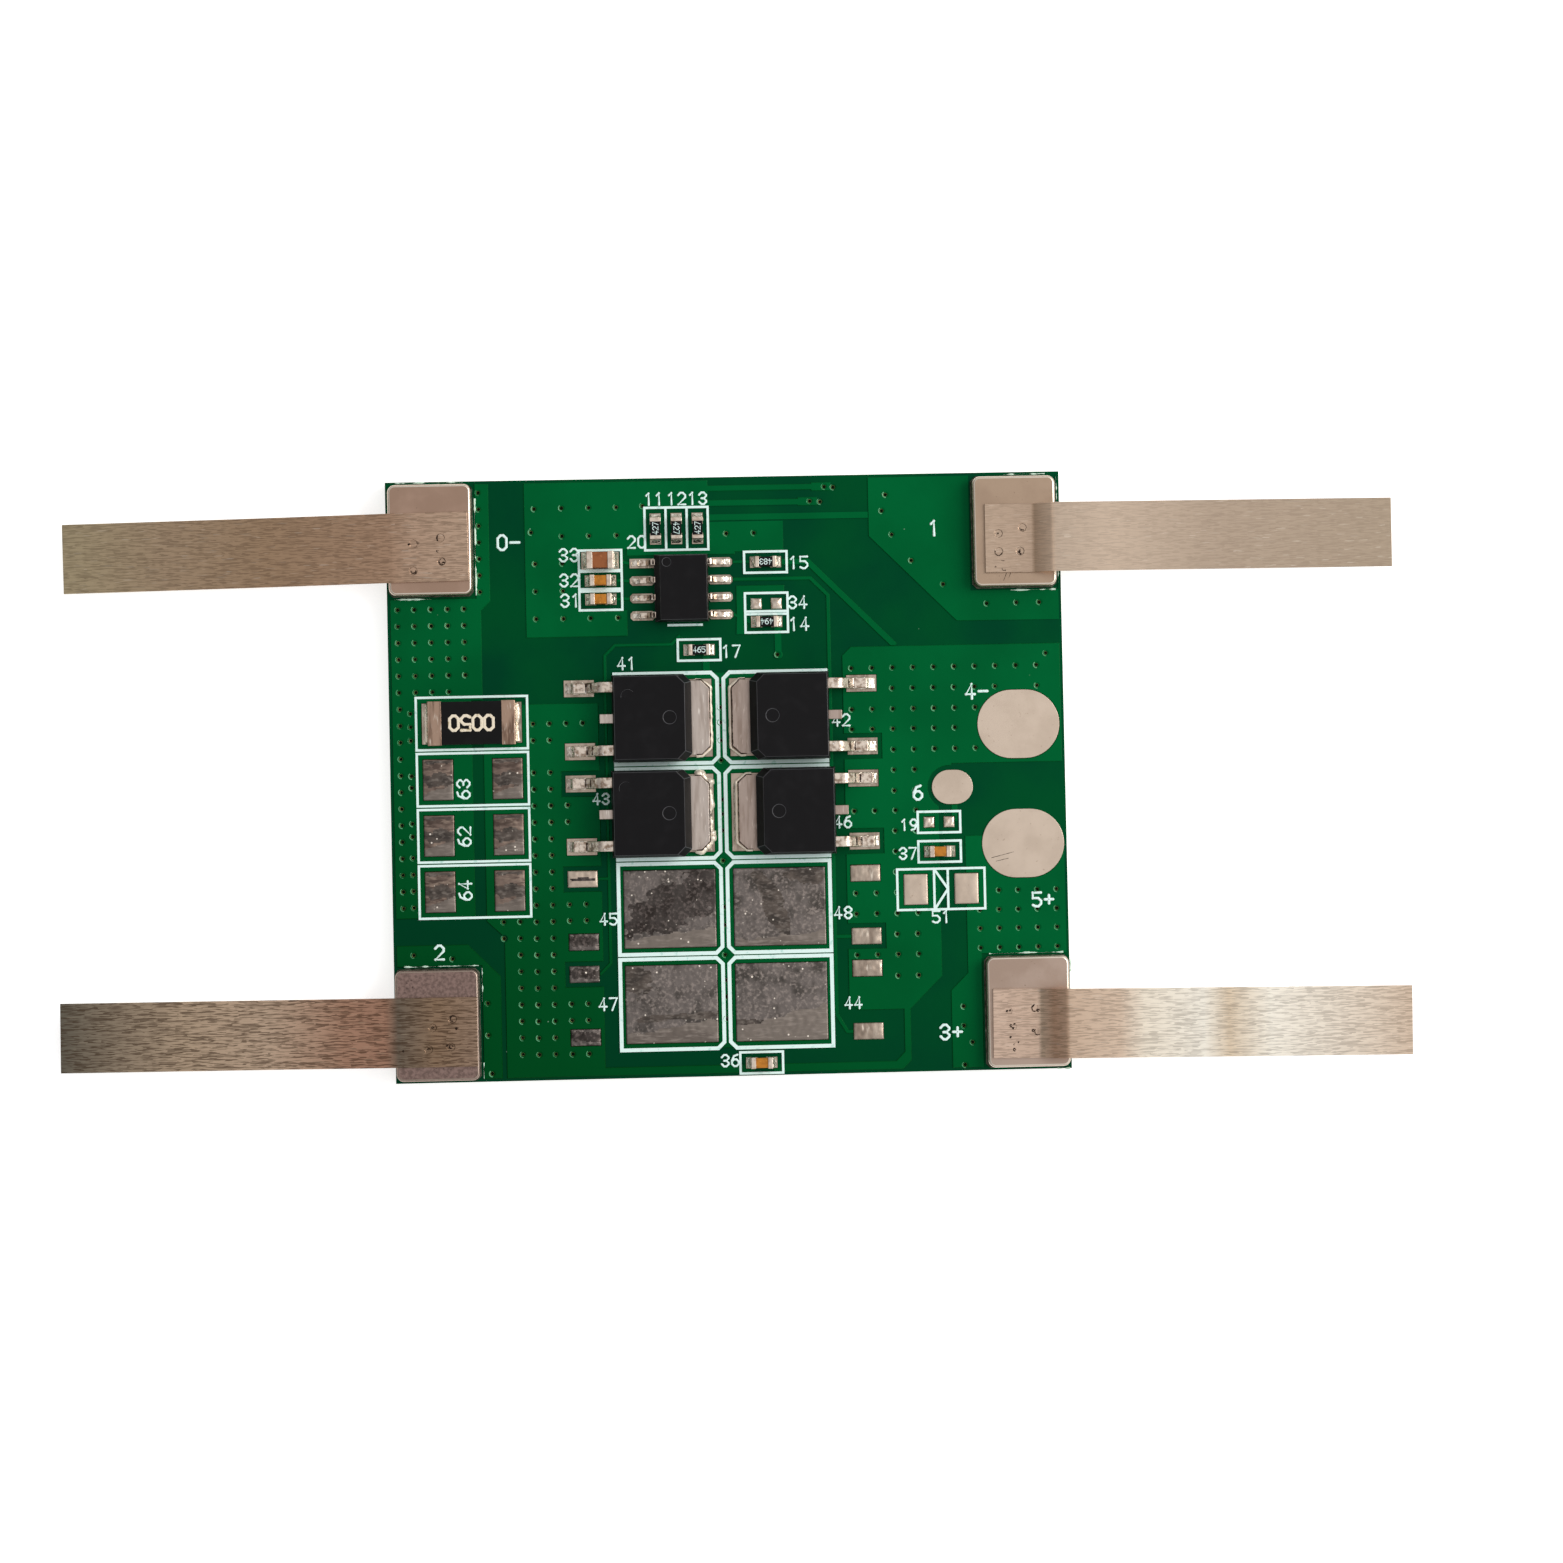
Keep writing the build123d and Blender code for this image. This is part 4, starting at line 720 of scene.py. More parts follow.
def stroke_tree() -> Tree:
    """Builds the nodes that turn a skeleton of lines into printed strokes with round ends.

    Returns:
        A tree with the inputs Width, Thickness and Finish.
    """
    tree, given = new_tree("printed_strokes", {"Width": "Float", "Thickness": "Float", "Finish": "Material"})
    half = add_node(tree, "ShaderNodeMath", {0: given["Width"], 1: 0.5}, {"operation": "MULTIPLY"}).outputs[0]
    section = add_node(tree, "GeometryNodeCurvePrimitiveCircle", {"Resolution": 10, "Radius": half})
    line = add_node(tree, "GeometryNodeMeshToCurve", {0: given["Geometry"]})
    rod = add_node(tree, "GeometryNodeCurveToMesh",
                   {"Curve": line.outputs[0], "Profile Curve": section.outputs[0], "Fill Caps": True})
    ball = add_node(tree, "GeometryNodeMeshUVSphere", {"Segments": 10, "Rings": 6, "Radius": half})
    ends = add_node(tree, "GeometryNodeInstanceOnPoints",
                    {"Points": given["Geometry"], "Instance": ball.outputs[0]})
    real = add_node(tree, "GeometryNodeRealizeInstances", {0: ends.outputs[0]})
    joined = add_node(tree, "GeometryNodeJoinGeometry")
    for part in (rod.outputs[0], real.outputs[0]):
        tree.links.new(part, joined.inputs[0])
    share = add_node(tree, "ShaderNodeMath", {0: given["Thickness"], 1: given["Width"]},
                     {"operation": "DIVIDE"}).outputs[0]
    flatness = add_node(tree, "ShaderNodeCombineXYZ", {"X": 1.0, "Y": 1.0, "Z": share})
    flat = add_node(tree, "GeometryNodeTransform", {0: joined.outputs[0], "Scale": flatness.outputs[0]})
    soft = add_node(tree, "GeometryNodeSetShadeSmooth", {0: flat.outputs[0]})
    end_tree(tree, soft.outputs[0], given["Finish"])
    return tree


def bead_tree() -> Tree:
    """Builds the nodes that lay an uneven bead along lines: solder at a joint, the burr of a weld, and lines
    of painted highlight and painted shade.

    Returns:
        A tree with the inputs Radius, Thinnest, Thickest, Wobble, Step, Grain and Finish.
    """
    sizes = {name: "Float" for name in ("Radius", "Thinnest", "Thickest", "Wobble", "Step", "Grain")}
    tree, given = new_tree("uneven_beads", {**sizes, "Finish": "Material"})
    line = add_node(tree, "GeometryNodeMeshToCurve", {0: given["Geometry"]})
    fine = add_node(tree, "GeometryNodeResampleCurve", {"Curve": line.outputs[0], "Length": given["Step"]},
                    {"mode": "LENGTH"})
    where = add_node(tree, "GeometryNodeInputPosition").outputs[0]
    density = add_node(tree, "ShaderNodeMath", {0: 1.0, 1: given["Grain"]},
                       {"operation": "DIVIDE"}).outputs[0]
    wave = add_node(tree, "ShaderNodeTexNoise", {"Vector": where, "Scale": density, "Detail": 3.0})
    share = add_node(tree, "ShaderNodeMapRange",
                     {"Value": wave.outputs["Fac"], "From Min": 0.36, "From Max": 0.64,
                      "To Min": given["Thinnest"], "To Max": given["Thickest"]}).outputs[0]
    least = add_node(tree, "ShaderNodeMath", {0: share, 1: THIN_SHARE}, {"operation": "MAXIMUM"}).outputs[0]
    size = add_node(tree, "ShaderNodeMath", {0: least, 1: given["Radius"]},
                    {"operation": "MULTIPLY"}).outputs[0]
    shift = add_node(tree, "ShaderNodeVectorMath", {0: wave.outputs["Color"], 1: (0.5, 0.5, 0.5)},
                     {"operation": "SUBTRACT"}).outputs[0]
    scaled = add_node(tree, "ShaderNodeVectorMath", {0: shift, "Scale": given["Wobble"]},
                      {"operation": "SCALE"}).outputs[0]
    level = add_node(tree, "ShaderNodeVectorMath", {0: scaled, 1: (1.0, 1.0, 0.0)},
                     {"operation": "MULTIPLY"}).outputs[0]
    moved = add_node(tree, "GeometryNodeSetPosition", {"Geometry": fine.outputs[0], "Offset": level})
    section = add_node(tree, "GeometryNodeCurvePrimitiveCircle", {"Resolution": 8, "Radius": 1.0})
    rod = add_node(tree, "GeometryNodeCurveToMesh",
                   {"Curve": moved.outputs[0], "Profile Curve": section.outputs[0], "Scale": size,
                    "Fill Caps": True})
    soft = add_node(tree, "GeometryNodeSetShadeSmooth", {0: rod.outputs[0]})
    end_tree(tree, soft.outputs[0], given["Finish"])
    return tree


def skeleton(name: str, lines: list[list[Vector]]) -> Mesh:
    """Joins lines of points into one mesh of edges; a line that ends where it began is closed."""
    vertices, edges = [], []
    for line in lines:
        first = len(vertices)
        closed = (line[0] - line[-1]).length < TINY
        spots = line[:-1] if closed else line
        vertices.extend(spots)
        edges.extend((first + i, first + i + 1) for i in range(len(spots) - 1))
        if closed:
            edges.append((first + len(spots) - 1, first))
    mesh = bpy.data.meshes.new(name + "_lines")
    mesh.from_pydata(vertices, edges, [])
    return mesh


@dataclass(frozen=True)
class Bead:
    """How a bead is laid: its radius, how much that varies, how far it strays and how often.

    The thinnest share may be below zero: the bead then thins to almost nothing over longer stretches.
    """

    radius: float
    thinnest: float = 0.4
    thickest: float = 1.5
    wobble: float = 0.1
    step: float = 0.09
    grain: float = 0.4

    def lay(self, name: str, lines: list[list[Vector]], coat: Coat, slot: str) -> None:
        """Lays beads along lines and seats them as one piece.

        Args:
            name: name of the piece.
            lines: points in millimetres.
            coat: finish of the beads.
            slot: material slot of the record.
        """
        values = {"Radius": self.radius, "Thinnest": self.thinnest, "Thickest": self.thickest,
                  "Wobble": self.wobble, "Step": self.step, "Grain": self.grain, "Finish": coat.material()}
        seat(shown(name, grown(bead_tree(), skeleton(name, lines), values)), slot)


def grown(tree: Tree, seeds: Mesh, values: dict[str, object]) -> Mesh:
    """Runs a geometry tree on a mesh.

    Args:
        tree: the geometry tree.
        seeds: points or lines in millimetres.
        values: the tree's inputs by name.

    Returns:
        The result as a plain mesh in millimetres.
    """
    carrier = set_out("growth_work", seeds)
    growth = carrier.modifiers.new("growth", "NODES")
    growth.node_group = tree
    for item in tree.interface.items_tree:
        if item.item_type == "SOCKET" and item.in_out == "INPUT" and item.name in values:
            growth[item.identifier] = values[item.name]
    return settled_mesh(carrier)


def lathe(name: str, outline: Pairs, sides: int) -> Piece:
    """Turns an outline about the Z axis into a small closed shape, for copying.

    Args:
        name: name of the shape.
        outline: radius and height of each point; it closes on itself or on the axis.
        sides: faces round the shape.

    Returns:
        The shape, in millimetres and hidden from the render.
    """
    made = bmesh.new()
    rings = []
    for radius, height in outline:
        if radius == 0:
            rings.append([made.verts.new((0, 0, height))] * sides)
            continue
        turns = [2 * math.pi * i / sides for i in range(sides)]
        rings.append([made.verts.new((radius * math.cos(a), radius * math.sin(a), height)) for a in turns])
    closed = outline[0][0] > 0
    for k in range(len(rings) if closed else len(rings) - 1):
        low, high = rings[k], rings[(k + 1) % len(rings)]
        for i in range(sides):
            j = (i + 1) % sides
            corners = list(dict.fromkeys((low[i], low[j], high[j], high[i])))
            if len(corners) > 2:
                made.faces.new(corners)
    bmesh.ops.recalc_face_normals(made, faces=made.faces)
    mesh = bpy.data.meshes.new(name)
    made.to_mesh(mesh)
    made.free()
    mesh.shade_smooth()
    return bpy.data.objects.new(name, mesh)


# Strokes of each figure on a field six tenths wide and ten tenths high
FIGURES = {
    "0": (((0, 2), (0, 8), (2, 10), (4, 10), (6, 8), (6, 2), (4, 0), (2, 0), (0, 2)),),
    "1": (((1, 8), (3, 10), (3, 0)),),
    "2": (((0, 8), (2, 10), (4, 10), (6, 8), (6, 6), (0, 0), (6, 0)),),
    "3": (((0, 8), (2, 10), (4, 10), (6, 8), (6, 7), (4, 5), (6, 3), (6, 2), (4, 0), (2, 0), (0, 2)),
          ((4, 5), (2, 5))),
    "4": (((4, 0), (4, 10), (0, 3), (6, 3)),),
    "5": (((6, 10), (0, 10), (0, 6), (4, 6), (6, 4), (6, 2), (4, 0), (2, 0), (0, 1)),),
    "6": (((5, 10), (2, 9), (0, 5), (0, 2), (2, 0), (4, 0), (6, 2), (6, 4), (4, 6), (2, 6), (0, 4)),),
    "7": (((0, 10), (6, 10), (2, 0)),),
    "8": (((2, 5), (0, 7), (0, 8), (2, 10), (4, 10), (6, 8), (6, 7), (4, 5), (6, 3), (6, 2), (4, 0),
           (2, 0), (0, 2), (0, 3), (2, 5), (4, 5)),),
    "9": (((1, 0), (4, 1), (6, 5), (6, 8), (4, 10), (2, 10), (0, 8), (0, 6), (2, 4), (4, 4), (6, 6)),),
    "+": (((3, 2), (3, 8)), ((0, 5), (6, 5))),
    "-": (((0, 5), (6, 5)),),
}


@dataclass(frozen=True)
class Mark:
    """A plain number or sign: its figures, centre, height, turn in degrees and step in heights."""

    text: str
    x: float
    y: float
    height: float = 0.9
    turn: float = 0.0
    step: float = 0.88

    def strokes(self) -> list[list[Vector]]:
        """The mark's lines in the board's plane, in millimetres."""
        width = (len(self.text) - 1) * self.step + 0.6
        facing = Matrix.Rotation(math.radians(self.turn), 3, "Z")
        lines = []
        for number, figure in enumerate(self.text):
            left = number * self.step - width / 2
            for stroke in FIGURES[figure]:
                spots = [Vector((left + u / 10, v / 10 - 0.5, 0)) * self.height for u, v in stroke]
                lines.append([facing @ spot + Vector((self.x, self.y, 0)) for spot in spots])
        return lines


def level_at(surface: BVHTree | None, spot: Vector, otherwise: float) -> float:
    """Height of a surface over a spot, or another level where the surface isn't."""
    hit = surface.ray_cast(Vector((spot.x, spot.y, ABOVE)), Vector((0, 0, -1)))[0] if surface else None
    return hit.z if hit else otherwise


def print_marks(name: str, marks: list[Mark], width: float, thickness: float, coat: Coat,
                surface: BVHTree | None, level: float) -> None:
    """Prints marks as raised strokes of ink and seats them as one piece.

    Args:
        name: name of the piece.
        marks: what is printed.
        width: width of the strokes.
        thickness: thickness of the ink, doubled because half of it is sunk.
        coat: the ink.
        surface: copper that lifts the ink where it runs over it.
        level: height of the surface elsewhere.
    """
    drawn = [mark.strokes() for mark in marks]
    values = {"Width": width, "Thickness": thickness, "Finish": coat.material()}
    mesh = grown(stroke_tree(), skeleton(name, sum(drawn, [])), values)
    middles = [Vector((mark.x, mark.y, 0)) for mark in marks]
    levels = [max(level_at(surface, spot, level) for line in lines for spot in line) for lines in drawn]
    for vertex in mesh.vertices:
        distances = [(middle - vertex.co).length for middle in middles]
        vertex.co.z += levels[distances.index(min(distances))]
    seat(shown(name, mesh), "legend_ink")


@dataclass(frozen=True)
class ViaRun:
    """A straight run of plated holes: first hole, how many, and the step to the next."""

    x: float
    y: float
    count: int = 1
    dx: float = 0.0
    dy: float = 0.0

    def spots(self) -> list[Vector]:
        """The holes' centres."""
        return [Vector((self.x + i * self.dx, self.y + i * self.dy, 0)) for i in range(self.count)]


@dataclass
class CircuitBoard:
    """The laminate with its masked copper, bare pads, plated holes and white print."""

    via_rim: float = 0.26
    via_waist: float = 0.15
    via_slope: float = 20.0
    via_throat: float = 0.1
    via_depth: float = 0.15
    via_spare: float = 0.02
    # Radius of the disc of painted shade in each via, in shares of the waist
    via_floor: float = 0.9
    via_sizes: tuple[float, float] = (0.94, 1.06)
    via_seed: int = 3
    sides: int = 14
    # A pale arc of painted highlight on the left of each via's rim: its radius, arc and bead
    highlight_radius: float = 0.22
    highlight_arc: tuple[float, float, int] = (120, 160, 6)
    highlight_bead: Bead = Bead(0.035, 0.3, 1.3, 0.02, 0.09, 2.5)
    copper_lean: float = 0.05
    lean_mitre: float = 0.3
    lean_tries: int = 12
    stroke: float = 0.16
    label_stroke: float = 0.2
    label_height: float = 1.0
    ink: float = 0.09
    output_edge: float = 0.03

    def via_runs(self) -> list[ViaRun]:
        """Every plated hole of the board, net by net."""
        cell, sense, output, positive = 1.2, 1.2, 1.5, 1.4
        runs = [(-23.75, 12.5 - cell * row, 5, cell) for row in range(5)]
        runs += [(-23.75, 6.5, 4, cell), (-17.78, 20.9, 7, 0, -cell)]
        runs += [(-23.72, 5.29, 13, 0, -sense), (-22.97, 4.97, 3, 0, -0.98), (-22.97, 0.43, 2, 0, -0.83),
                 (-22.97, -3.0, 2, 0, -0.94), (-22.97, -5.48, 4, 0, -sense)]
        for x in (-14.13, -12.93):
            runs += [(x, 4.06, 2, 0, -sense), (x, 0.52, 18, 0, -sense)]
        runs += [(-15.32, -10.24, 9, 0, -sense), (-16.52, -10.24, 2, 0, -sense)]
        runs += [(-11.72, y, 2, sense) for y in (4.06, -9.07, -10.24, -16.27, -17.47, -19.9)]
        runs += [(-11.72, -1.87, 2, 0, -sense)]
        runs += [(x, y) for x in (-11.77, -9.8, -7.8) for y in (19.68, 17.64, 11.65)]
        runs += [(-13.75, 19.65), (-14.0, 17.95), (-13.75, 15.66, 3, 0, -2.0), (-11.77, 15.66, 2, 0, -2.0),
                 (-5.89, 19.74), (0.16, 17.64, 2, 2.0)]
        runs += [(11.8, 20.26), (11.5, 19.09), (12.2, 17.35), (13.59, 15.43), (15.88, 13.66),
                 (19.03, 12.2), (21.2, 12.23, 2, 1.67)]
        runs += [(9.05, 7.65, 10, output), (12.0, 6.15, 6, output), (22.57, 6.15), (9.02, 4.65, 7, output),
                 (9.0, 3.2, 6, output), (12.0, 1.69, 5, output), (12.0, 0.21, 2, output),
                 (12.0, -1.3, 2, output), (9.05, -2.74, 4, output), (12.0, -4.22, 2, output),
                 (12.0, -5.72, 2, 0, -output), (9.05, -8.71, 3, output), (9.05, -10.21, 4, output),
                 (12.0, -11.73, 2, output), (9.05, -13.2, 4, output), (12.0, -14.75, 2, output),
                 (23.26, 8.5)]
        runs += [(18.05, y, 5, positive) for y in (-10.1, -11.46, -12.87)]
        runs += [(19.46, -8.7, 4, positive), (16.7, -17.09, 2, 0, -1.41), (17.31, -19.7), (16.72, -21.33)]
        runs += [(-23.06, -12.51), (-20.26, -12.83), (-17.78, -16.09, 2, 0, -2.31), (-17.56, -21.18)]
        runs += [(-0.55, y) for y in (6.6, 5.0, 3.9, 2.6, 1.15, -1.7, -2.75, -3.95, -6.13, -9.5,
                                      -10.8, -12.96, -14.8, -16.0, -17.6)]
        runs += [(7.35, 20.92, 2, 0.65, -0.04), (6.28, 19.89, 2, 0.75, -0.05), (3.7, 8.75)]
        return [ViaRun(*run) for run in runs]

    def marks(self) -> list[Mark]:
        """Plain numbers beside the parts, and a number and sign at each tab and output."""
        rows = (
            ("0-", -15.65, 17.25, 1.05), ("1", 15.3, 17.75, 1.05), ("2", -21.2, -12.35, 1.0),
            ("3+", 15.75, -18.93, 1.05), ("4-", 18.15, 5.8, 1.05), ("5+", 22.65, -9.45, 1.0),
            ("6", 13.7, -1.5, 1.0), ("11", -5.05, 20.22, 0.85), ("12", -3.4, 20.22, 0.85),
            ("13", -1.88, 20.22, 0.85), ("20", -6.37, 17.12, 0.85), ("33", -11.3, 16.25),
            ("32", -11.3, 14.42, 0.88), ("31", -11.25, 12.95), ("15", 5.38, 15.42, 0.85),
            ("34", 5.25, 12.53, 0.86), ("14", 5.33, 10.95), ("17", 0.35, 9.05, 0.84),
            ("41", -7.28, 8.3, 0.85), ("42", 8.22, 3.9, 0.83), ("43", -9.3, -1.48, 0.76),
            ("46", 8.2, -3.52, 0.8), ("45", -8.95, -10.2, 0.8), ("48", 8.07, -10.1, 0.83),
            ("47", -9.1, -16.35, 0.86), ("44", 8.68, -16.65, 0.8), ("19", 13.0, -3.82, 0.76),
            ("37", 12.87, -5.9, 0.8), ("51", 15.2, -10.55, 0.83), ("36", -0.35, -20.63, 0.83),
            ("63", -19.25, -0.57, 0.9, 90), ("62", -19.25, -4.0, 0.9, 90), ("64", -19.25, -7.9, 0.9, 90),
        )
        return [Mark(*row) for row in rows]

    def build(self) -> None:
        """Dresses the carried-over layers and adds soft edges, plated holes and print."""
        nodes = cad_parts
        paint(nodes["bottom_copper"], Coat.MASK)
        paint(nodes["legend"], Coat.INK)
        paint(nodes["component_pads"], Coat.TINNED)
        soften("output_pads", "bare_pad", self.output_edge, 2, (Coat.BARE_PAD,))
        self.build_vias()
        surface, level = surface_of("top_copper"), top_of("board_laminate")
        labels = [mark for mark in self.marks() if mark.height >= self.label_height]
        numbers = [mark for mark in self.marks() if mark.height < self.label_height]
        for name, marks, stroke in (("printed_labels", labels, self.label_stroke),
                                    ("printed_numbers", numbers, self.stroke)):
            print_marks(name, marks, stroke, self.ink, Coat.INK, surface, level)

    def build_vias(self) -> None:
        """Cuts the sunken mouth of every plated hole out of copper and laminate, darkens its floor with a
        disc of painted shade, and lays an arc of painted highlight on the left of its rim.
        """
        surface, laminate = surface_of("top_copper"), top_of("board_laminate")
        spots = []
        for run in self.via_runs():
            spots += [Vector((spot.x, spot.y, level_at(surface, spot, laminate))) for spot in run.spots()]
        rim, waist, depth, spare = self.via_rim, self.via_waist, self.via_depth, self.via_spare
        base = waist * self.via_floor
        slope = (rim - waist) * math.tan(math.radians(self.via_slope))
        mouth = ((0, 1.0), (rim + spare * 2, 1.0), (rim + spare * 2, spare), (rim, 0.0),
                 (waist, -slope), (self.via_throat, -depth), (0, -depth))
        # A dark disc at the crater's bottom: painted shade of the deep hole
        floor = ((0, -depth + spare), (base, -depth + spare), (base, -depth - spare), (0, -depth - spare))
        cutter = set_out("via_cutter", self.copies("via_mouth", mouth, spots, Coat.MASK))
        for node, coat, slot, lean in (("top_copper", Coat.MASK, "solder_mask", self.copper_lean),
                                       ("board_laminate", Coat.MASK_DARK, "laminate", 0.0)):
            piece = self.cut(node, cutter, lean)
            paint(piece, coat)
            seat(piece, slot, (node,))
        bpy.data.objects.remove(cutter)
        seat(shown("via_floors", self.copies("via_floor", floor, spots, Coat.VIA_PAINTED_SHADE)), "solder_mask")
        # Pale arcs on the left of each rim: painted highlight
        highlight_arcs = [ArcMark(spot.x, spot.y, self.highlight_radius, *self.highlight_arc).line(spot.z) for spot in spots]
        self.highlight_bead.lay("via_lips", highlight_arcs, Coat.VIA_RIM_HIGHLIGHT, "solder_mask")

    def copies(self, name: str, outline: Pairs, spots: list[Vector], coat: Coat) -> Mesh:
        """Puts a turned shape on every spot, with small random changes of size."""
        seeds = bpy.data.meshes.new(name + "_points")
        seeds.from_pydata(spots, [], [])
        values = {"Shape": lathe(name + "_shape", outline, self.sides), "Smallest": self.via_sizes[0],
                  "Largest": self.via_sizes[1], "Seed": self.via_seed, "Finish": coat.material()}
        return grown(scatter_tree(), seeds, values)

    def cut(self, node: str, cutter: Piece, lean: float) -> Piece:
        """Copies a CAD node with the cutter's shapes taken out and, given a lean, its sides leaning in."""
        solids = node_solids(node)
        if lean:
            self.lean_sides(solids, lean)
        bmesh.ops.triangulate(solids, faces=solids.faces)
        carrier = set_out(node + "_work", plain_mesh(node + "_cut", solids))
        hole = carrier.modifiers.new("holes", "BOOLEAN")
        hole.operation, hole.solver, hole.object = "DIFFERENCE", "MANIFOLD", cutter
        mesh = settled_mesh(carrier)
        mesh.shade_flat()
        return shown(node + "_cut", mesh)

    def lean_sides(self, solids: Solids, lean: float) -> None:
        """Draws the upper rims inwards, except where narrow places would cross: they stay upright.

        Args:
            solids: the copper, changed in place.
            lean: how far a rim moves, in millimetres.
        """
        solids.verts.index_update()
        top = max(v.co.z for v in solids.verts)
        moves = {}
        for vertex in solids.verts:
            walls = [face.normal for face in vertex.link_faces if abs(face.normal.z) < 0.5]
            if walls and vertex.co.z > top - TINY:
                turn = max(self.lean_mitre, 1 + walls[0].dot(walls[-1]))
                moves[vertex] = (walls[0] + walls[-1]) * (-lean / turn)
        for vertex, move in moves.items():
            vertex.co += move
        for _ in range(self.lean_tries):
            trial = solids.copy()
            bmesh.ops.triangulate(trial, faces=trial.faces)
            trial.normal_update()
            spoilt = {v.index for face in trial.faces if face.normal.z < 0
                      and all(v.co.z > top - TINY for v in face.verts) for v in face.verts}
            trial.free()
            if not spoilt:
                return
            near = {edge.other_vert(v).index for v in solids.verts if v.index in spoilt
                    for edge in v.link_edges}
            for vertex in [v for v in moves if v.index in spoilt | near]:
                vertex.co -= moves.pop(vertex)
        log.warning("the copper's sides stay upright: %d rims cross", len(spoilt))
        for vertex, move in moves.items():
            vertex.co -= move


@dataclass(frozen=True)
class ArcMark:
    """An arc about a point, in degrees from +X: used for the burrs of a welding electrode, for mould pins'
    marks and for painted highlights beside plated holes.
    """

    x: float
    y: float
    radius: float
    start: float = 0.0
    sweep: float = 300.0
    steps: int = 8

    def line(self, z: float) -> list[Vector]:
        """The arc's points at a height."""
        turns = [math.radians(self.start + self.sweep * i / self.steps) for i in range(self.steps + 1)]
        return [Vector((self.x + self.radius * math.cos(a), self.y + self.radius * math.sin(a), z))
                for a in turns]


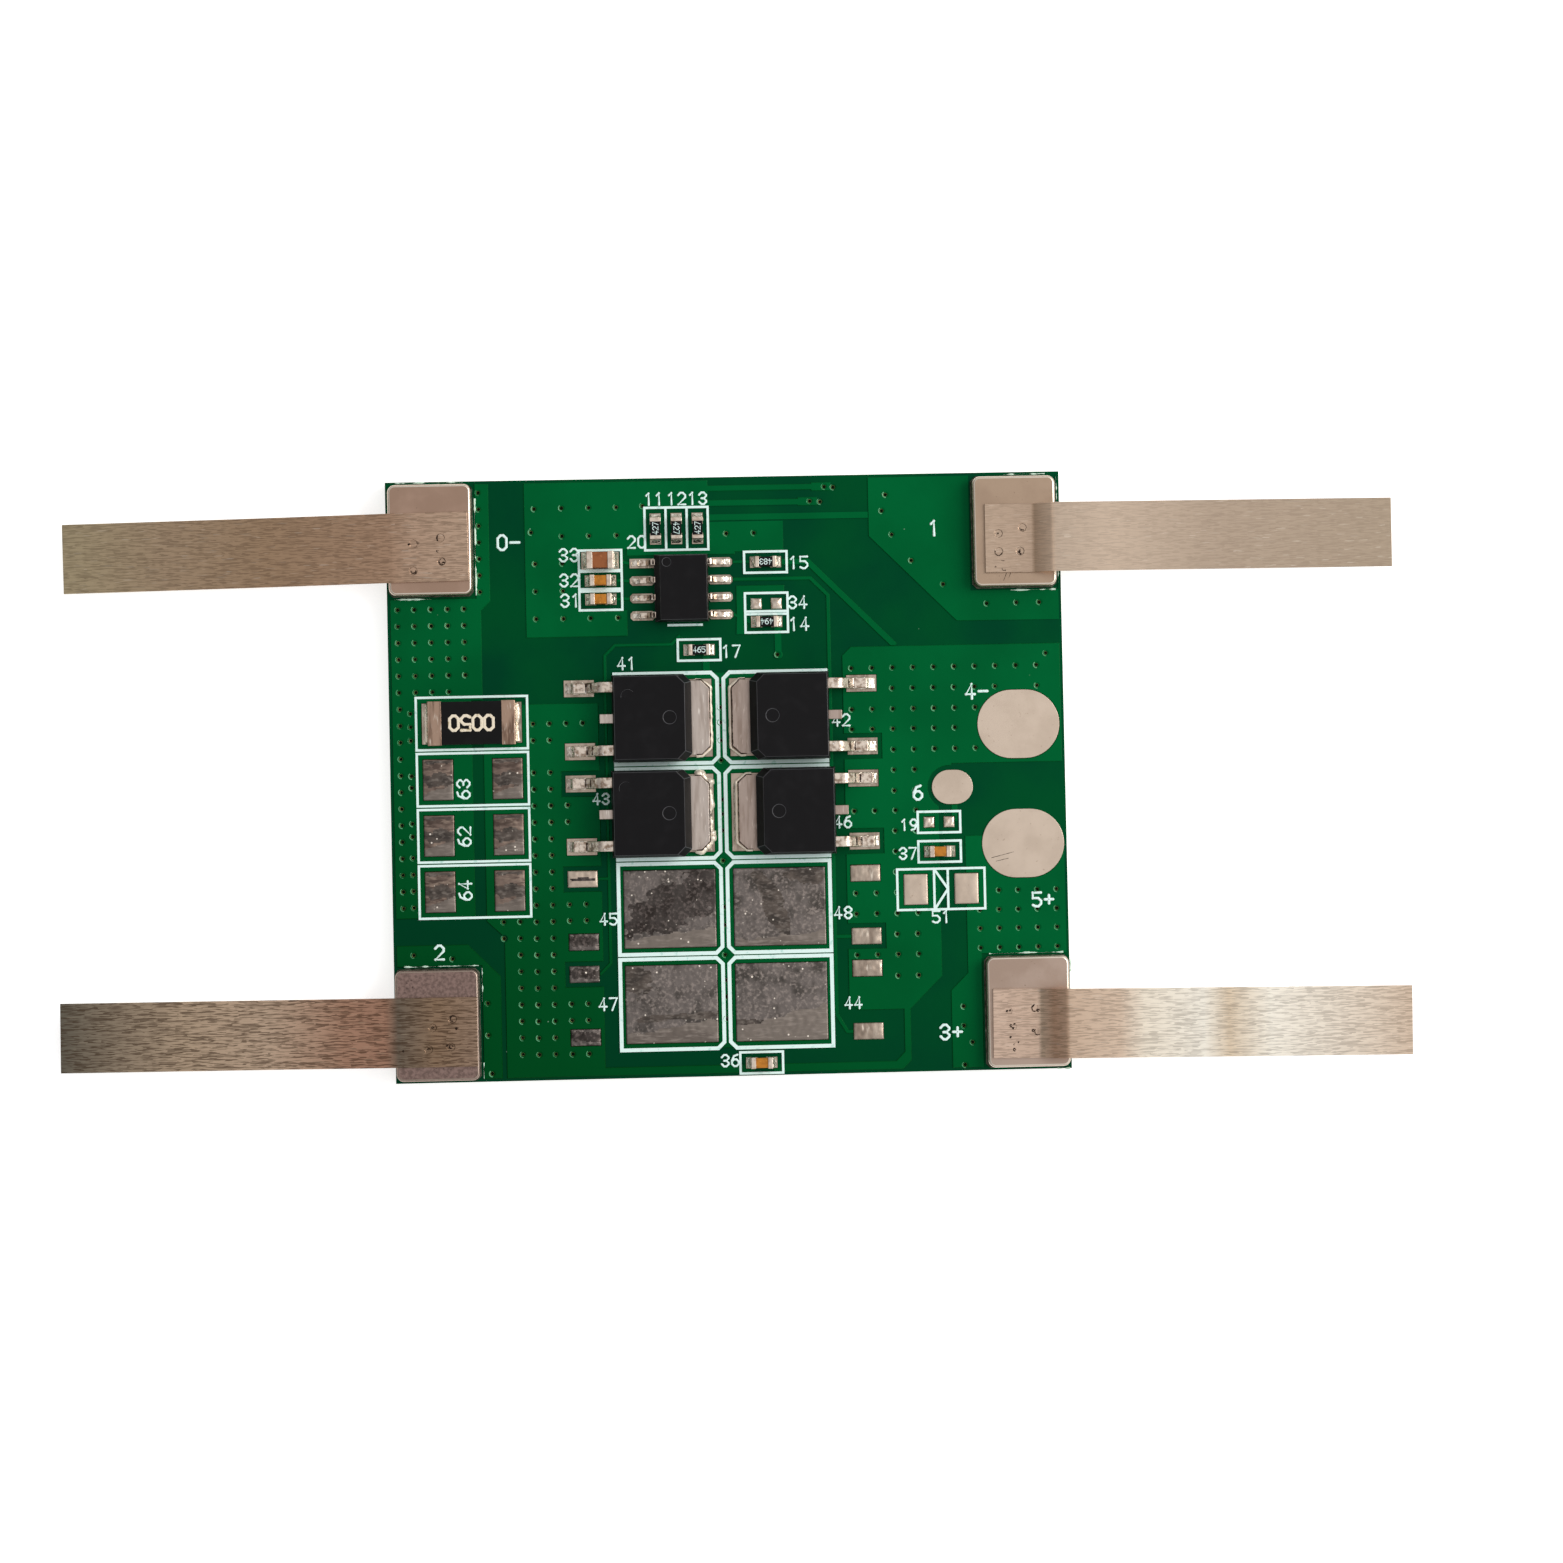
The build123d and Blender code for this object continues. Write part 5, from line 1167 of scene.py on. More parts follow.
@dataclass
class CellTabs:
    """Four nickel plates soldered to the board, each with a thin strip spot-welded on it."""

    plate_edge: float = 0.05
    strip_edge: float = 0.05
    grain_relief: float = 0.006
    # Pale lines of painted highlight round the plates: their distance out and how they are laid
    painted_light_out: float = 0.22
    solder: Melt = Melt(0.11, 0.03, -0.1, 0.7)
    painted_light: Bead = Bead(0.06, -0.9, 1.4, 0.1, 0.07, 0.8)
    burr: Bead = Bead(0.035, 0.3, 1.6, 0.16, 0.05, 0.2)
    scratch: Bead = Bead(0.02, 0.5, 1.2, 0.03, 0.06, 0.3)

    def plate_finish(self, tab: str) -> RolledNickel:
        """The satin finish of one plate; the second tap's plate is dull and scuffed."""
        tones = {"negative": ("#ba9b88", "#ae907d"), "tap_1": ("#b19984", "#a8907c"),
                 "positive": ("#b9a395", "#ae9788"), "tap_2": ("#9c827a", "#7d6861")}
        colour, cloud = tones[tab]
        scuffed = tab == "tap_2"
        return RolledNickel("rolled_plate_" + tab, colour, 0.4, 1.0, cloud=cloud, relief_mm=0.003,
                            grain_mm=0.12, cloud_mm=0.25 if scuffed else 2.2,
                            stained=0.66 if scuffed else 0.72, stain="#5a4a45" if scuffed else "#8d7768")

    def strip_finish(self, tab: str) -> BrushedNickel:
        """The brushed finish of one strip, with tones from left to right that are painted reflection, shade
        and highlight.
        """
        # Colour stops along each strip: painted reflection and shade, the palest ones painted highlight
        tones = {
            "negative": ((0.0, "#bead8c"), (0.25, "#bca286"), (0.5, "#b59679"), (0.8, "#bc997f"),
                         (0.86, "#c7a78f"), (1.0, "#ccae96")),
            "tap_2": ((0.0, "#767063"), (0.3, "#cfb59a"), (0.5, "#dabda3"), (0.68, "#c0957d"),
                      (0.78, "#b98d76"), (0.81, "#7d7062"), (0.9, "#9c8068"), (1.0, "#a58a76")),
            "tap_1": ((0.0, "#c3ab96"), (0.115, "#bfa691"), (0.12, "#d4b498"), (0.165, "#ffe0c4"),
                      (0.17, "#cdb8a4"), (0.3, "#d7c1ac"), (0.55, "#b9a592"), (1.0, "#9f8f7d")),
            "positive": ((0.0, "#dcc0ac"), (0.11, "#d4b8a3"), (0.115, "#e4c8ae"), (0.145, "#d3ab8f"),
                         (0.175, "#dcb89c"), (0.18, "#dcc0a8"), (0.3, "#e6cdb6"), (0.36, "#fff3e0"),
                         (0.5, "#fff8ea"), (0.56, "#e6d2b8"), (0.66, "#fff8ea"), (1.0, "#d3bda8")),
        }
        grain = {"negative": (0.4, 0.055), "tap_2": (0.72, 0.06), "tap_1": (0.18, 0.05),
                 "positive": (0.36, 0.06)}
        low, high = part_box("nickel_strip_" + tab)
        depth, coarse = grain[tab]
        return BrushedNickel("brushed_strip_" + tab, "#c8b4a0", 0.36, 1.0, relief_mm=self.grain_relief,
                             painted_reflection_stops=tones[tab], start_mm=low.x / MM, end_mm=high.x / MM, depth=depth,
                             coarse_mm=coarse, scratch="#d9c3a8" if tab == "tap_2" else "#fff6e8")

    def bites(self) -> list[ArcMark]:
        """Weld marks on the four strips, left of the board first."""
        rows = (
            (-20.45, 17.55, 0.3, 100, 120), (-22.08, 17.21, 0.08), (-22.75, 17.13, 0.06),
            (-20.69, 16.61, 0.08), (-20.37, 15.83, 0.24, 20, 250), (-20.3, 15.7, 0.1),
            (-22.45, 15.19, 0.16, 180, 200), (-20.24, -17.08, 0.2, 60, 210), (-21.7, -17.69, 0.08),
            (-20.01, -17.79, 0.07), (-20.41, -19.1, 0.14), (-20.7, -19.0, 0.06),
            (-22.01, -19.28, 0.1, 0, 200), (-23.84, -19.3, 0.05), (19.85, 17.16, 0.04),
            (19.86, 15.83, 0.27, 150, 190), (21.36, 15.81, 0.06), (21.62, 15.81, 0.24, 130, 100),
            (21.65, 17.59, 0.2, 190, 100), (19.64, 14.73, 0.05), (20.17, 15.28, 0.12, 200, 120),
            (20.25, 14.63, 0.16, 180, 120), (19.72, -17.44, 0.05), (19.95, -17.4, 0.04),
            (21.8, -17.27, 0.26, 110, 150), (21.95, -17.45, 0.08), (20.0, -18.5, 0.08),
            (20.15, -18.68, 0.06), (20.24, -18.44, 0.05), (21.6, -18.9, 0.08),
            (21.96, -18.98, 0.24, 140, 150), (19.93, -19.34, 0.05), (20.21, -19.86, 0.06),
            (20.5, -19.72, 0.04), (20.2, -20.25, 0.09),
        )
        return [ArcMark(*row) for row in rows]

    def scratches(self) -> list[list[Vector]]:
        """Fine dark scratches on the first tap's plate and on the positive output pad."""
        top = top_of("cell_plate_tap_1")
        pad = top_of("output_pads")
        ends = [((20.42, 14.3, top), (20.2, 13.75, top)), ((20.72, 14.3, top), (20.58, 13.95, top)),
                ((18.95, -6.35, pad), (20.6, -5.95, pad)), ((19.3, -6.6, pad), (20.2, -6.4, pad))]
        return [[Vector(a), Vector(a).lerp(Vector(b), 0.5), Vector(b)] for a, b in ends]

    def painted_light_lines(self) -> list[list[Vector]]:
        """Lines of painted highlight round the plates, each a stretch of one side between two shares of it.
        """
        stretches = (("negative", "right", 0.0, 0.88), ("negative", "top", 0.08, 0.9),
                     ("negative", "bottom", 0.05, 0.5), ("tap_2", "top", 0.1, 1.0),
                     ("tap_2", "right", 0.7, 1.0), ("tap_2", "right", 0.0, 0.15),
                     ("tap_1", "top", 0.4, 0.9), ("tap_1", "right", 0.5, 1.0),
                     ("tap_1", "right", 0.03, 0.18), ("tap_1", "bottom", 0.45, 1.0),
                     ("positive", "top", 0.05, 0.95), ("positive", "right", 0.85, 1.0),
                     ("positive", "bottom", 0.85, 1.0))
        level = top_of("top_copper")
        lines = []
        for tab, side, start, end in stretches:
            low, high = box_mm("cell_plate_" + tab)
            out = self.painted_light_out
            ends = {"right": ((high.x + out, low.y, level), (high.x + out, high.y, level)),
                    "top": ((low.x, high.y + out, level), (high.x, high.y + out, level)),
                    "bottom": ((low.x, low.y - out, level), (high.x, low.y - out, level))}[side]
            first, last = Vector(ends[0]), Vector(ends[1])
            lines.append([first.lerp(last, start), first.lerp(last, end)])
        return lines

    def build(self) -> None:
        """Makes the plates, their solder, the strips and the marks of welding."""
        for tab in ("negative", "tap_1", "tap_2", "positive"):
            # The plates' rounded edges get a lighter colour: painted highlight
            coats = (self.plate_finish(tab), Coat.NICKEL_RIM_DIM_HIGHLIGHT if tab == "tap_2" else Coat.NICKEL_RIM_HIGHLIGHT)
            soften("cell_plate_" + tab, "nickel_plate", self.plate_edge, 3, coats)
            soften("nickel_strip_" + tab, "nickel_strip", self.strip_edge, 2, (self.strip_finish(tab),))
        # The plates' solder wears the darkened coat: painted reflection
        self.solder.lay("plate_solder", "plate_solder_melted", Coat.SHADED_SOLDER)
        # Pale lines round the plates: painted highlight
        self.painted_light.lay("plate_flux", self.painted_light_lines(), Coat.PLATE_RIM_HIGHLIGHT, "solder")
        top = max(v.co.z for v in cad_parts["nickel_strip_tap_2"].data.vertices) / MM
        burrs = [bite.line(top) for bite in self.bites()]
        self.burr.lay("weld_burrs", burrs, Coat.WELD_BURN_AND_PAINTED_SHADE, "nickel_strip")
        self.scratch.lay("scratches", self.scratches(), Coat.WELD_BURN_AND_PAINTED_SHADE, "nickel_plate")


def outer_end(low: Vector, high: Vector, middle: float) -> tuple[int, float]:
    """Which way a tab or lead points from a middle line, 1 for +X or -1, and where it ends."""
    side = 1 if (low.x + high.x) / 2 > middle else -1
    return side, high.x if side > 0 else low.x


def bend_lines(node: str, bends: tuple[float, ...], shortest: float) -> list[list[Vector]]:
    """Finds lines across the bends of a node's formed leads.

    Args:
        node: CAD node of the leads.
        bends: distances from a lead's outer end to its bends, in millimetres.
        shortest: leads shorter than this have no bends.

    Returns:
        One line on each bend's surface.
    """
    surface = surface_of(node)
    body = sum(corner.x for corner in box_mm(node.replace("_leads", "_body"))) / 2
    lines = []
    for low, high in islands(node):
        side, end = outer_end(low, high, body)
        for bend in bends if high.x - low.x > shortest else ():
            spots = [Vector((end - side * bend, low.y + (high.y - low.y) * share, 0)) for share in
                     (0.1, 0.3, 0.5, 0.7, 0.9)]
            lines.append([Vector((s.x, s.y, level_at(surface, s, low.z))) for s in spots])
    return lines


@dataclass
class PowerTransistors:
    """Four tabbed power transistors, soldered down by tab and leads."""

    count: int = 4
    body_edge: float = 0.1
    tab_edge: float = 0.05
    lead_edge: float = 0.06
    tab_corner: float = 0.6
    seam_out: float = 0.1
    seam_tail: float = 0.4
    seam_lift: float = 1.5
    rough_number: int = 3
    seam: Bead = Bead(0.12, 0.8, 1.2, 0.06, 0.07, 0.5)
    rough_seam: Bead = Bead(0.16, 0.5, 2.0, 0.7, 0.06, 0.6)
    # Dark line along each tab's top edge: painted shade where the tab meets its solder
    painted_light: Bead = Bead(0.045, 0.5, 1.2, 0.05, 0.06, 0.4)
    foot_seam: Bead = Bead(0.055, 0.3, 1.7, 0.08, 0.05, 0.25)
    foot_length: float = 0.95
    circle: Bead = Bead(0.018, 0.3, 1.2, 0.02, 0.08, 0.7)
    tab_solder: Melt = Melt(0.05, 0.03, 0.0, 0.35)
    lead_solder: Melt = Melt()
    bends: tuple[float, ...] = (0.93, 1.32)
    long_lead: float = 1.8
    # Dark lines across the leads' bends: painted shade where the sloping lead would mirror the dark board
    bend: Bead = Bead(0.05, 0.4, 1.3, 0.04, 0.05, 0.3)

    def seam_line(self, number: int, out: float) -> list[Vector]:
        """Line along the free end of a tab and its cut corners, at a distance from the tab."""
        low, high = box_mm(f"mosfet_{number}_tab")
        body = sum(corner.x for corner in box_mm(f"mosfet_{number}_body")) / 2
        side, tip = outer_end(low, high, body)
        end = tip + side * out
        back = end - side * (self.tab_corner + out)
        level = top_of("component_pads")
        spots = ((back - side * self.seam_tail, low.y - out / 2), (back, low.y - out / 2),
                 (end, low.y + self.tab_corner - out), (end, high.y - self.tab_corner + out),
                 (back, high.y + out / 2), (back - side * self.seam_tail, high.y + out / 2))
        return [Vector((x, y, level + self.seam.radius * self.seam_lift)) for x, y in spots]

    def foot_line(self, low: Vector, high: Vector) -> list[Vector]:
        """Line round the outer end of a lead's foot, at the pad's surface."""
        side, end = outer_end(low, high, 0.0)
        heel = end - side * self.foot_length
        level = top_of("component_pads")
        spots = ((heel, low.y), (end, low.y), (end, high.y), (heel, high.y))
        return [Vector((x, y, level)) for x, y in spots]

    def ejector_marks(self) -> list[ArcMark]:
        """Faint arcs that a second mould pin left on two bodies' tops."""
        return [ArcMark(-7.21, 5.82, 0.5, 40, 150), ArcMark(-7.47, -0.82, 0.5, 60, 140)]

    def build(self) -> None:
        """Makes each transistor's body, tab and leads, and the solder under them."""
        numbers = range(1, self.count + 1)
        for number in numbers:
            tab, body = (sum(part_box(f"mosfet_{number}_{part}"), Vector()).x for part in ("tab", "body"))
            # Tabs left of their body, on the lamp's far side, get the darker copy: painted shade
            tab_coat = Coat.DRAIN_TAB if tab > body else Coat.DRAIN_TAB_SHADED
            # The bodies' rounded edges get a lighter grey: painted highlight
            dress = {"body": (self.body_edge, (Coat.EPOXY, Coat.EPOXY_EDGE_HIGHLIGHT), "epoxy_body"),
                     "tab": (self.tab_edge, (tab_coat, tab_coat), "tinned_lead"),
                     "leads": (self.lead_edge, (Coat.BENT_LEAD, Coat.BENT_LEAD), "tinned_lead")}
            for part, (edge, coats, slot) in dress.items():
                soften(f"mosfet_{number}_{part}", slot, edge, 3, coats)
        # The mould pins' arcs are drawn in the same painted-highlight grey
        circles = [mark.line(top_of("mosfet_1_body")) for mark in self.ejector_marks()]
        self.circle.lay("ejector_marks", circles, Coat.EPOXY_EDGE_HIGHLIGHT, "epoxy_body")
        # The seams are real solder, with painted sheen in their colour
        smooth = [self.seam_line(number, self.seam_out) for number in numbers if number != self.rough_number]
        self.seam.lay("tab_seams", smooth, Coat.SEAM, "solder")
        rough = [self.seam_line(self.rough_number, self.seam_out)]
        self.rough_seam.lay("rough_tab_seam", rough, Coat.SEAM, "solder")
        # A dark line along each tab's top edge: painted shade in the crease where tab and solder meet
        close = [self.seam_line(number, 0.0) for number in numbers]
        lift = Vector((0, 0, top_of("mosfet_1_tab") - close[0][0].z))
        painted_light = [[spot + lift for spot in line] for line in close]
        self.painted_light.lay("tab_flux", painted_light, Coat.WELD_BURN_AND_PAINTED_SHADE, "solder")
        feet = [self.foot_line(*box) for number in numbers for box in islands(f"mosfet_{number}_leads")]
        self.foot_seam.lay("foot_seams", feet, Coat.SOLDER, "solder")
        # Dark lines across the bends: painted shade
        bends = [line for number in numbers
                 for line in bend_lines(f"mosfet_{number}_leads", self.bends, self.long_lead)]
        self.bend.lay("lead_bend_flux", bends, Coat.WELD_BURN_AND_PAINTED_SHADE, "tinned_lead")
        self.tab_solder.lay("mosfet_tab_solder", "tab_solder_melted", Coat.SOLDER)
        self.lead_solder.lay("lead_solder", "lead_solder_melted", Coat.SOLDER)


@dataclass
class ProtectionChip:
    """The eight-lead protection chip."""

    body_edge: float = 0.06
    lead_edge: float = 0.04
    bends: tuple[float, ...] = (0.74, 0.98)
    # Dark lines across the leads' bends: painted shade
    bend: Bead = Bead(0.065, 0.5, 1.3, 0.03, 0.05, 0.3)

    def build(self) -> None:
        """Makes the moulded body and the formed leads, with lines of painted shade across the leads' bends.
        """
        # The rounded edges get a lighter grey: painted highlight
        soften("protection_chip_body", "epoxy_body", self.body_edge, 3, (Coat.EPOXY, Coat.EPOXY_EDGE_HIGHLIGHT))
        soften("protection_chip_leads", "tinned_lead", self.lead_edge, 2, (Coat.BENT_LEAD,))
        painted_light = bend_lines("protection_chip_leads", self.bends, 0.0)
        self.bend.lay("chip_bend_flux", painted_light, Coat.WELD_BURN_AND_PAINTED_SHADE, "tinned_lead")


@dataclass
class ChipParts:
    """Chip resistors and capacitors with their end caps and solder."""

    body_edge: float = 0.03
    cap_edge: float = 0.06
    solder: Melt = Melt()
    sense_fillet: Bead = Bead(0.13, 0.5, 1.5, 0.12, 0.07, 0.5)
    figure_height: float = 0.39
    figure_stroke: float = 0.058
    figure_ink: float = 0.012
    sense_height: float = 1.05
    sense_stroke: float = 0.23
    sense_ink: float = 0.02
    figure_step: float = 0.8

    def build(self) -> None:
        """Makes every chip part, then their solder and their printed values."""
        kinds = {f"resistor_{i}": (Coat.GLASS_COAT, "resistor_body") for i in range(1, 7)}
        kinds["sense_resistor"] = (Coat.GLASS_COAT, "resistor_body")
        kinds["capacitor_1"] = (Coat.CERAMIC_BROWN, "ceramic_brown")
        kinds |= {f"capacitor_{i}": (Coat.CERAMIC_TAN, "ceramic_tan") for i in range(2, 6)}
        for part, (coat, slot) in kinds.items():
            soften(part + "_body", slot, self.body_edge, 2, (coat,))
            cap = Coat.SENSE_CAP if part == "sense_resistor" else Coat.LEAD
            soften(part + "_terminals", "tinned_lead", self.cap_edge, 3, (cap,), part + "_caps_soft")
        self.solder.lay("chip_solder", "chip_solder_melted", Coat.SOLDER)
        low, high = box_mm("sense_resistor_terminals")
        level, inset = top_of("component_pads"), self.sense_fillet.radius * 2
        lines = [[Vector((x, low.y + inset, level)), Vector((x, high.y - inset, level))]
                 for x in (low.x - inset / 2, high.x + inset / 2)]
        # Solder beside the sense resistor, with painted sheen in its colour
        self.sense_fillet.lay("sense_fillets", lines, Coat.SEAM, "solder")
        self.build_values()

    def figures(self, part: str, text: str, height: float, turn: float) -> Mark:
        """A plain number on the middle of a part's body."""
        low, high = box_mm(part + "_body")
        return Mark(text, (low.x + high.x) / 2, (low.y + high.y) / 2, height, turn, self.figure_step)

    def build_values(self) -> None:
        """Prints plain figures on the resistors."""
        values = {"resistor_1": ("427", 90), "resistor_2": ("427", -90), "resistor_3": ("427", 90),
                  "resistor_4": ("483", 180), "resistor_5": ("494", 180), "resistor_6": ("465", 0)}
        small = [self.figures(part, text, self.figure_height, turn) for part, (text, turn) in values.items()]
        large = [self.figures("sense_resistor", "0050", self.sense_height, 180)]
        print_marks("resistor_figures", small, self.figure_stroke, self.figure_ink, Coat.INK, None,
                    top_of("resistor_1_body"))
        print_marks("sense_resistor_figures", large, self.sense_stroke, self.sense_ink, Coat.CREAM_INK, None,
                    box_mm("sense_resistor_body")[1].z)


@dataclass(frozen=True)
class Stain:
    """A dark stain on a pad: middle and half sizes in shares of the pad, how it leans, and its ragged rim."""

    x: float
    y: float
    wide: float
    high: float
    lean: float = 0.0
    rags: Pairs = ((0.5, 4), (0.4, 12))

    def covers(self, u: float, v: float) -> bool:
        """Tells whether the stain reaches a place, given in shares of the pad."""
        (broad, rate), (fine, fine_rate) = self.rags
        ragged = (broad * noise.noise(Vector((u, v, self.x)) * rate)
                  + fine * noise.noise(Vector((u, v, self.y)) * fine_rate))
        across = (u - self.x - self.lean * (v - self.y)) / self.wide
        return math.hypot(across, (v - self.y) / self.high) + ragged < 1.0


@dataclass(frozen=True)
class PadSkin:
    """How tin lies on a group of pads: crown and ripple in millimetres, and the wiped lower band's share."""

    coat: Coat
    band_coat: Coat
    crown: float = 0.05
    ripple: float = 0.03
    grain: float = 0.55
    band: float = 0.0
    step: float = 0.09
    shoulder: float = 0.3
    tide: tuple[float, float] = (0.55, 0.9)
    tide_wave: float = 0.05
    tide_rate: float = 1.4
    fine: float = 0.5
    fine_rate: float = 3.1
    steepness: float = 3.0
    stains: tuple[Stain, ...] = ()
    stain_coat: Coat = Coat.SMOKED

    def height(self, x: float, y: float, inset: float, shoulder: float) -> float:
        """Height of the tin over a pad's point, from a low edge to a rippled crown."""
        rise = min(1.0, inset / shoulder)
        fine = noise.noise(Vector((x, y, 4)) * self.fine_rate)
        wave = noise.noise(Vector((x, y, 0)) / self.grain) + self.fine * fine
        return self.crown * (1 - (1 - rise) ** 2) + self.ripple * wave * min(1.0, self.steepness * rise)

    def zone(self, x: float, y: float, low: Vector, high: Vector) -> int:
        """Number of the coat at a point: 1 in the band wiped along the lower edge, 2 in a stain, else 0."""
        u, v = (x - low.x) / (high.x - low.x), (y - low.y) / (high.y - low.y)
        tide = self.band * (self.tide[0] + self.tide[1] * u)
        if self.band and v < tide + self.tide_wave * noise.noise(Vector((x * self.tide_rate, low.y, 0))):
            return 1
        return 2 if any(stain.covers(u, v) for stain in self.stains) else 0

    def lay(self, low: Vector, high: Vector, made: Solids) -> None:
        """Adds one pad's skin: flat under, crowned and rippled on top.

        Args:
            low: the pad's lowest corner.
            high: the pad's highest corner.
            made: mesh that gets the skin.
        """
        size = high - low
        columns, rows = (max(4, round(size[i] / self.step)) for i in (0, 1))
        shoulder = min(size.x, size.y) * self.shoulder
        grid = []
        for i in range(columns + 1):
            line = []
            for j in range(rows + 1):
                x, y = low.x + size.x * i / columns, low.y + size.y * j / rows
                inset = min(x - low.x, high.x - x, y - low.y, high.y - y)
                lift = self.height(x, y, inset, shoulder)
                line.append(made.verts.new((x, y, high.z - self.crown / 2 + lift)))
            grid.append(line)
        for i in range(columns):
            for j in range(rows):
                face = made.faces.new((grid[i][j], grid[i + 1][j], grid[i + 1][j + 1], grid[i][j + 1]))
                middle = face.calc_center_median()
                face.material_index = self.zone(middle.x, middle.y, low, high)
        rim = ([line[0] for line in grid] + grid[-1][1:] + [line[-1] for line in grid[-2::-1]]
               + grid[0][-2:0:-1])
        foot = [made.verts.new((v.co.x, v.co.y, low.z)) for v in rim]
        for k, vertex in enumerate(rim):
            after = (k + 1) % len(rim)
            made.faces.new((vertex, foot[k], foot[after], rim[after]))
        made.faces.new(foot[::-1])


@dataclass
class SparePlaces:
    """Tinned pads of the places left empty, each kind with its own skin of solder."""

    drain_size: float = 5.0
    drain_split: tuple[float, float] = (-0.55, -13.0)
    first_lead: float = -9.5
    sense_left: float = -14.0
    lead_size: float = 1.9
    bright_x: float = 7.0

    def skins(self) -> dict[str, PadSkin]:
        """The skin of every kind of pad."""
        dark, light = Coat.MOTTLED, Coat.WIPED
        return {
            "upper_left": PadSkin(dark, light, 0.04, 0.02, 0.4, 0.17,
                                  stains=(Stain(0.42, 0.5, 0.34, 0.34, 0.4), Stain(0.85, 0.72, 0.2, 0.3)),
                                  stain_coat=Coat.STAINED),
            "upper_right": PadSkin(dark, light, 0.04, 0.02, 0.4, 0.12,
                                   stains=(Stain(0.42, 0.55, 0.12, 0.4, -0.3), Stain(0.8, 0.88, 0.2, 0.1))),
            "lower_left": PadSkin(dark, light, 0.04, 0.02, 0.4, 0.2,
                                  stains=(Stain(0.12, 0.8, 0.22, 0.2), Stain(0.55, 0.33, 0.34, 0.05, 4.0))),
            "lower_right": PadSkin(dark, light, 0.04, 0.02, 0.4, 0.32,
                                   stains=(Stain(0.12, 0.24, 0.2, 0.05),)),
            "sense": PadSkin(Coat.BROWNED, light, 0.05, 0.03, 0.6, 0.26,
                             stains=(Stain(0.5, 0.5, 0.7, 0.16), Stain(0.45, 0.93, 0.5, 0.05))),
            "first_lead": PadSkin(Coat.BARE_PAD, light, 0.06, 0.03, 0.3,
                                  stains=(Stain(0.5, 0.5, 0.42, 0.12),), stain_coat=Coat.STAINED),
            "dull_lead": PadSkin(dark, dark, 0.08, 0.05, 0.3, stains=(Stain(0.5, 0.55, 0.6, 0.3),),
                                 stain_coat=Coat.STAINED),
            "bright_lead": PadSkin(Coat.TINNED, light, 0.06, 0.03, 0.3),
            "diode": PadSkin(Coat.BARE_PAD, light, 0.03, 0.01, 0.6),
            "chip": PadSkin(Coat.LEAD, light, 0.1, 0.05, 0.3, step=0.06),
        }

    def kind(self, low: Vector, high: Vector) -> str:
        """Names a pad's kind by its size and place."""
        size, middle = high - low, (low + high) / 2
        if size.x > self.drain_size:
            side = "left" if middle.x < self.drain_split[0] else "right"
            return ("upper_" if middle.y > self.drain_split[1] else "lower_") + side
        if middle.x < self.sense_left:
            return "sense"
        if size.x > self.lead_size:
            if middle.x > self.bright_x:
                return "bright_lead"
            return "first_lead" if middle.y > self.first_lead else "dull_lead"
        return "diode" if size.y > self.lead_size else "chip"

    def build(self) -> None:
        """Makes one piece for each kind of pad."""
        groups: dict[str, list[tuple[Vector, Vector]]] = {}
        for low, high in islands("spare_pads"):
            groups.setdefault(self.kind(low, high), []).append((low, high))
        for number, (name, skin) in enumerate(self.skins().items()):
            made = bmesh.new()
            for low, high in groups.get(name, []):
                skin.lay(low, high, made)
            bmesh.ops.recalc_face_normals(made, faces=made.faces)
            mesh = bpy.data.meshes.new(f"spare_{name}_pads")
            made.to_mesh(mesh)
            made.free()
            mesh.shade_smooth()
            for coat in (skin.coat, skin.band_coat, skin.stain_coat):
                mesh.materials.append(coat.material())
            seat(shown(f"spare_{name}_pads", mesh), "tinned_pad", ("spare_pads",) if number == 0 else ())
            log.info("spare %s pads: %d", name, len(groups.get(name, [])))


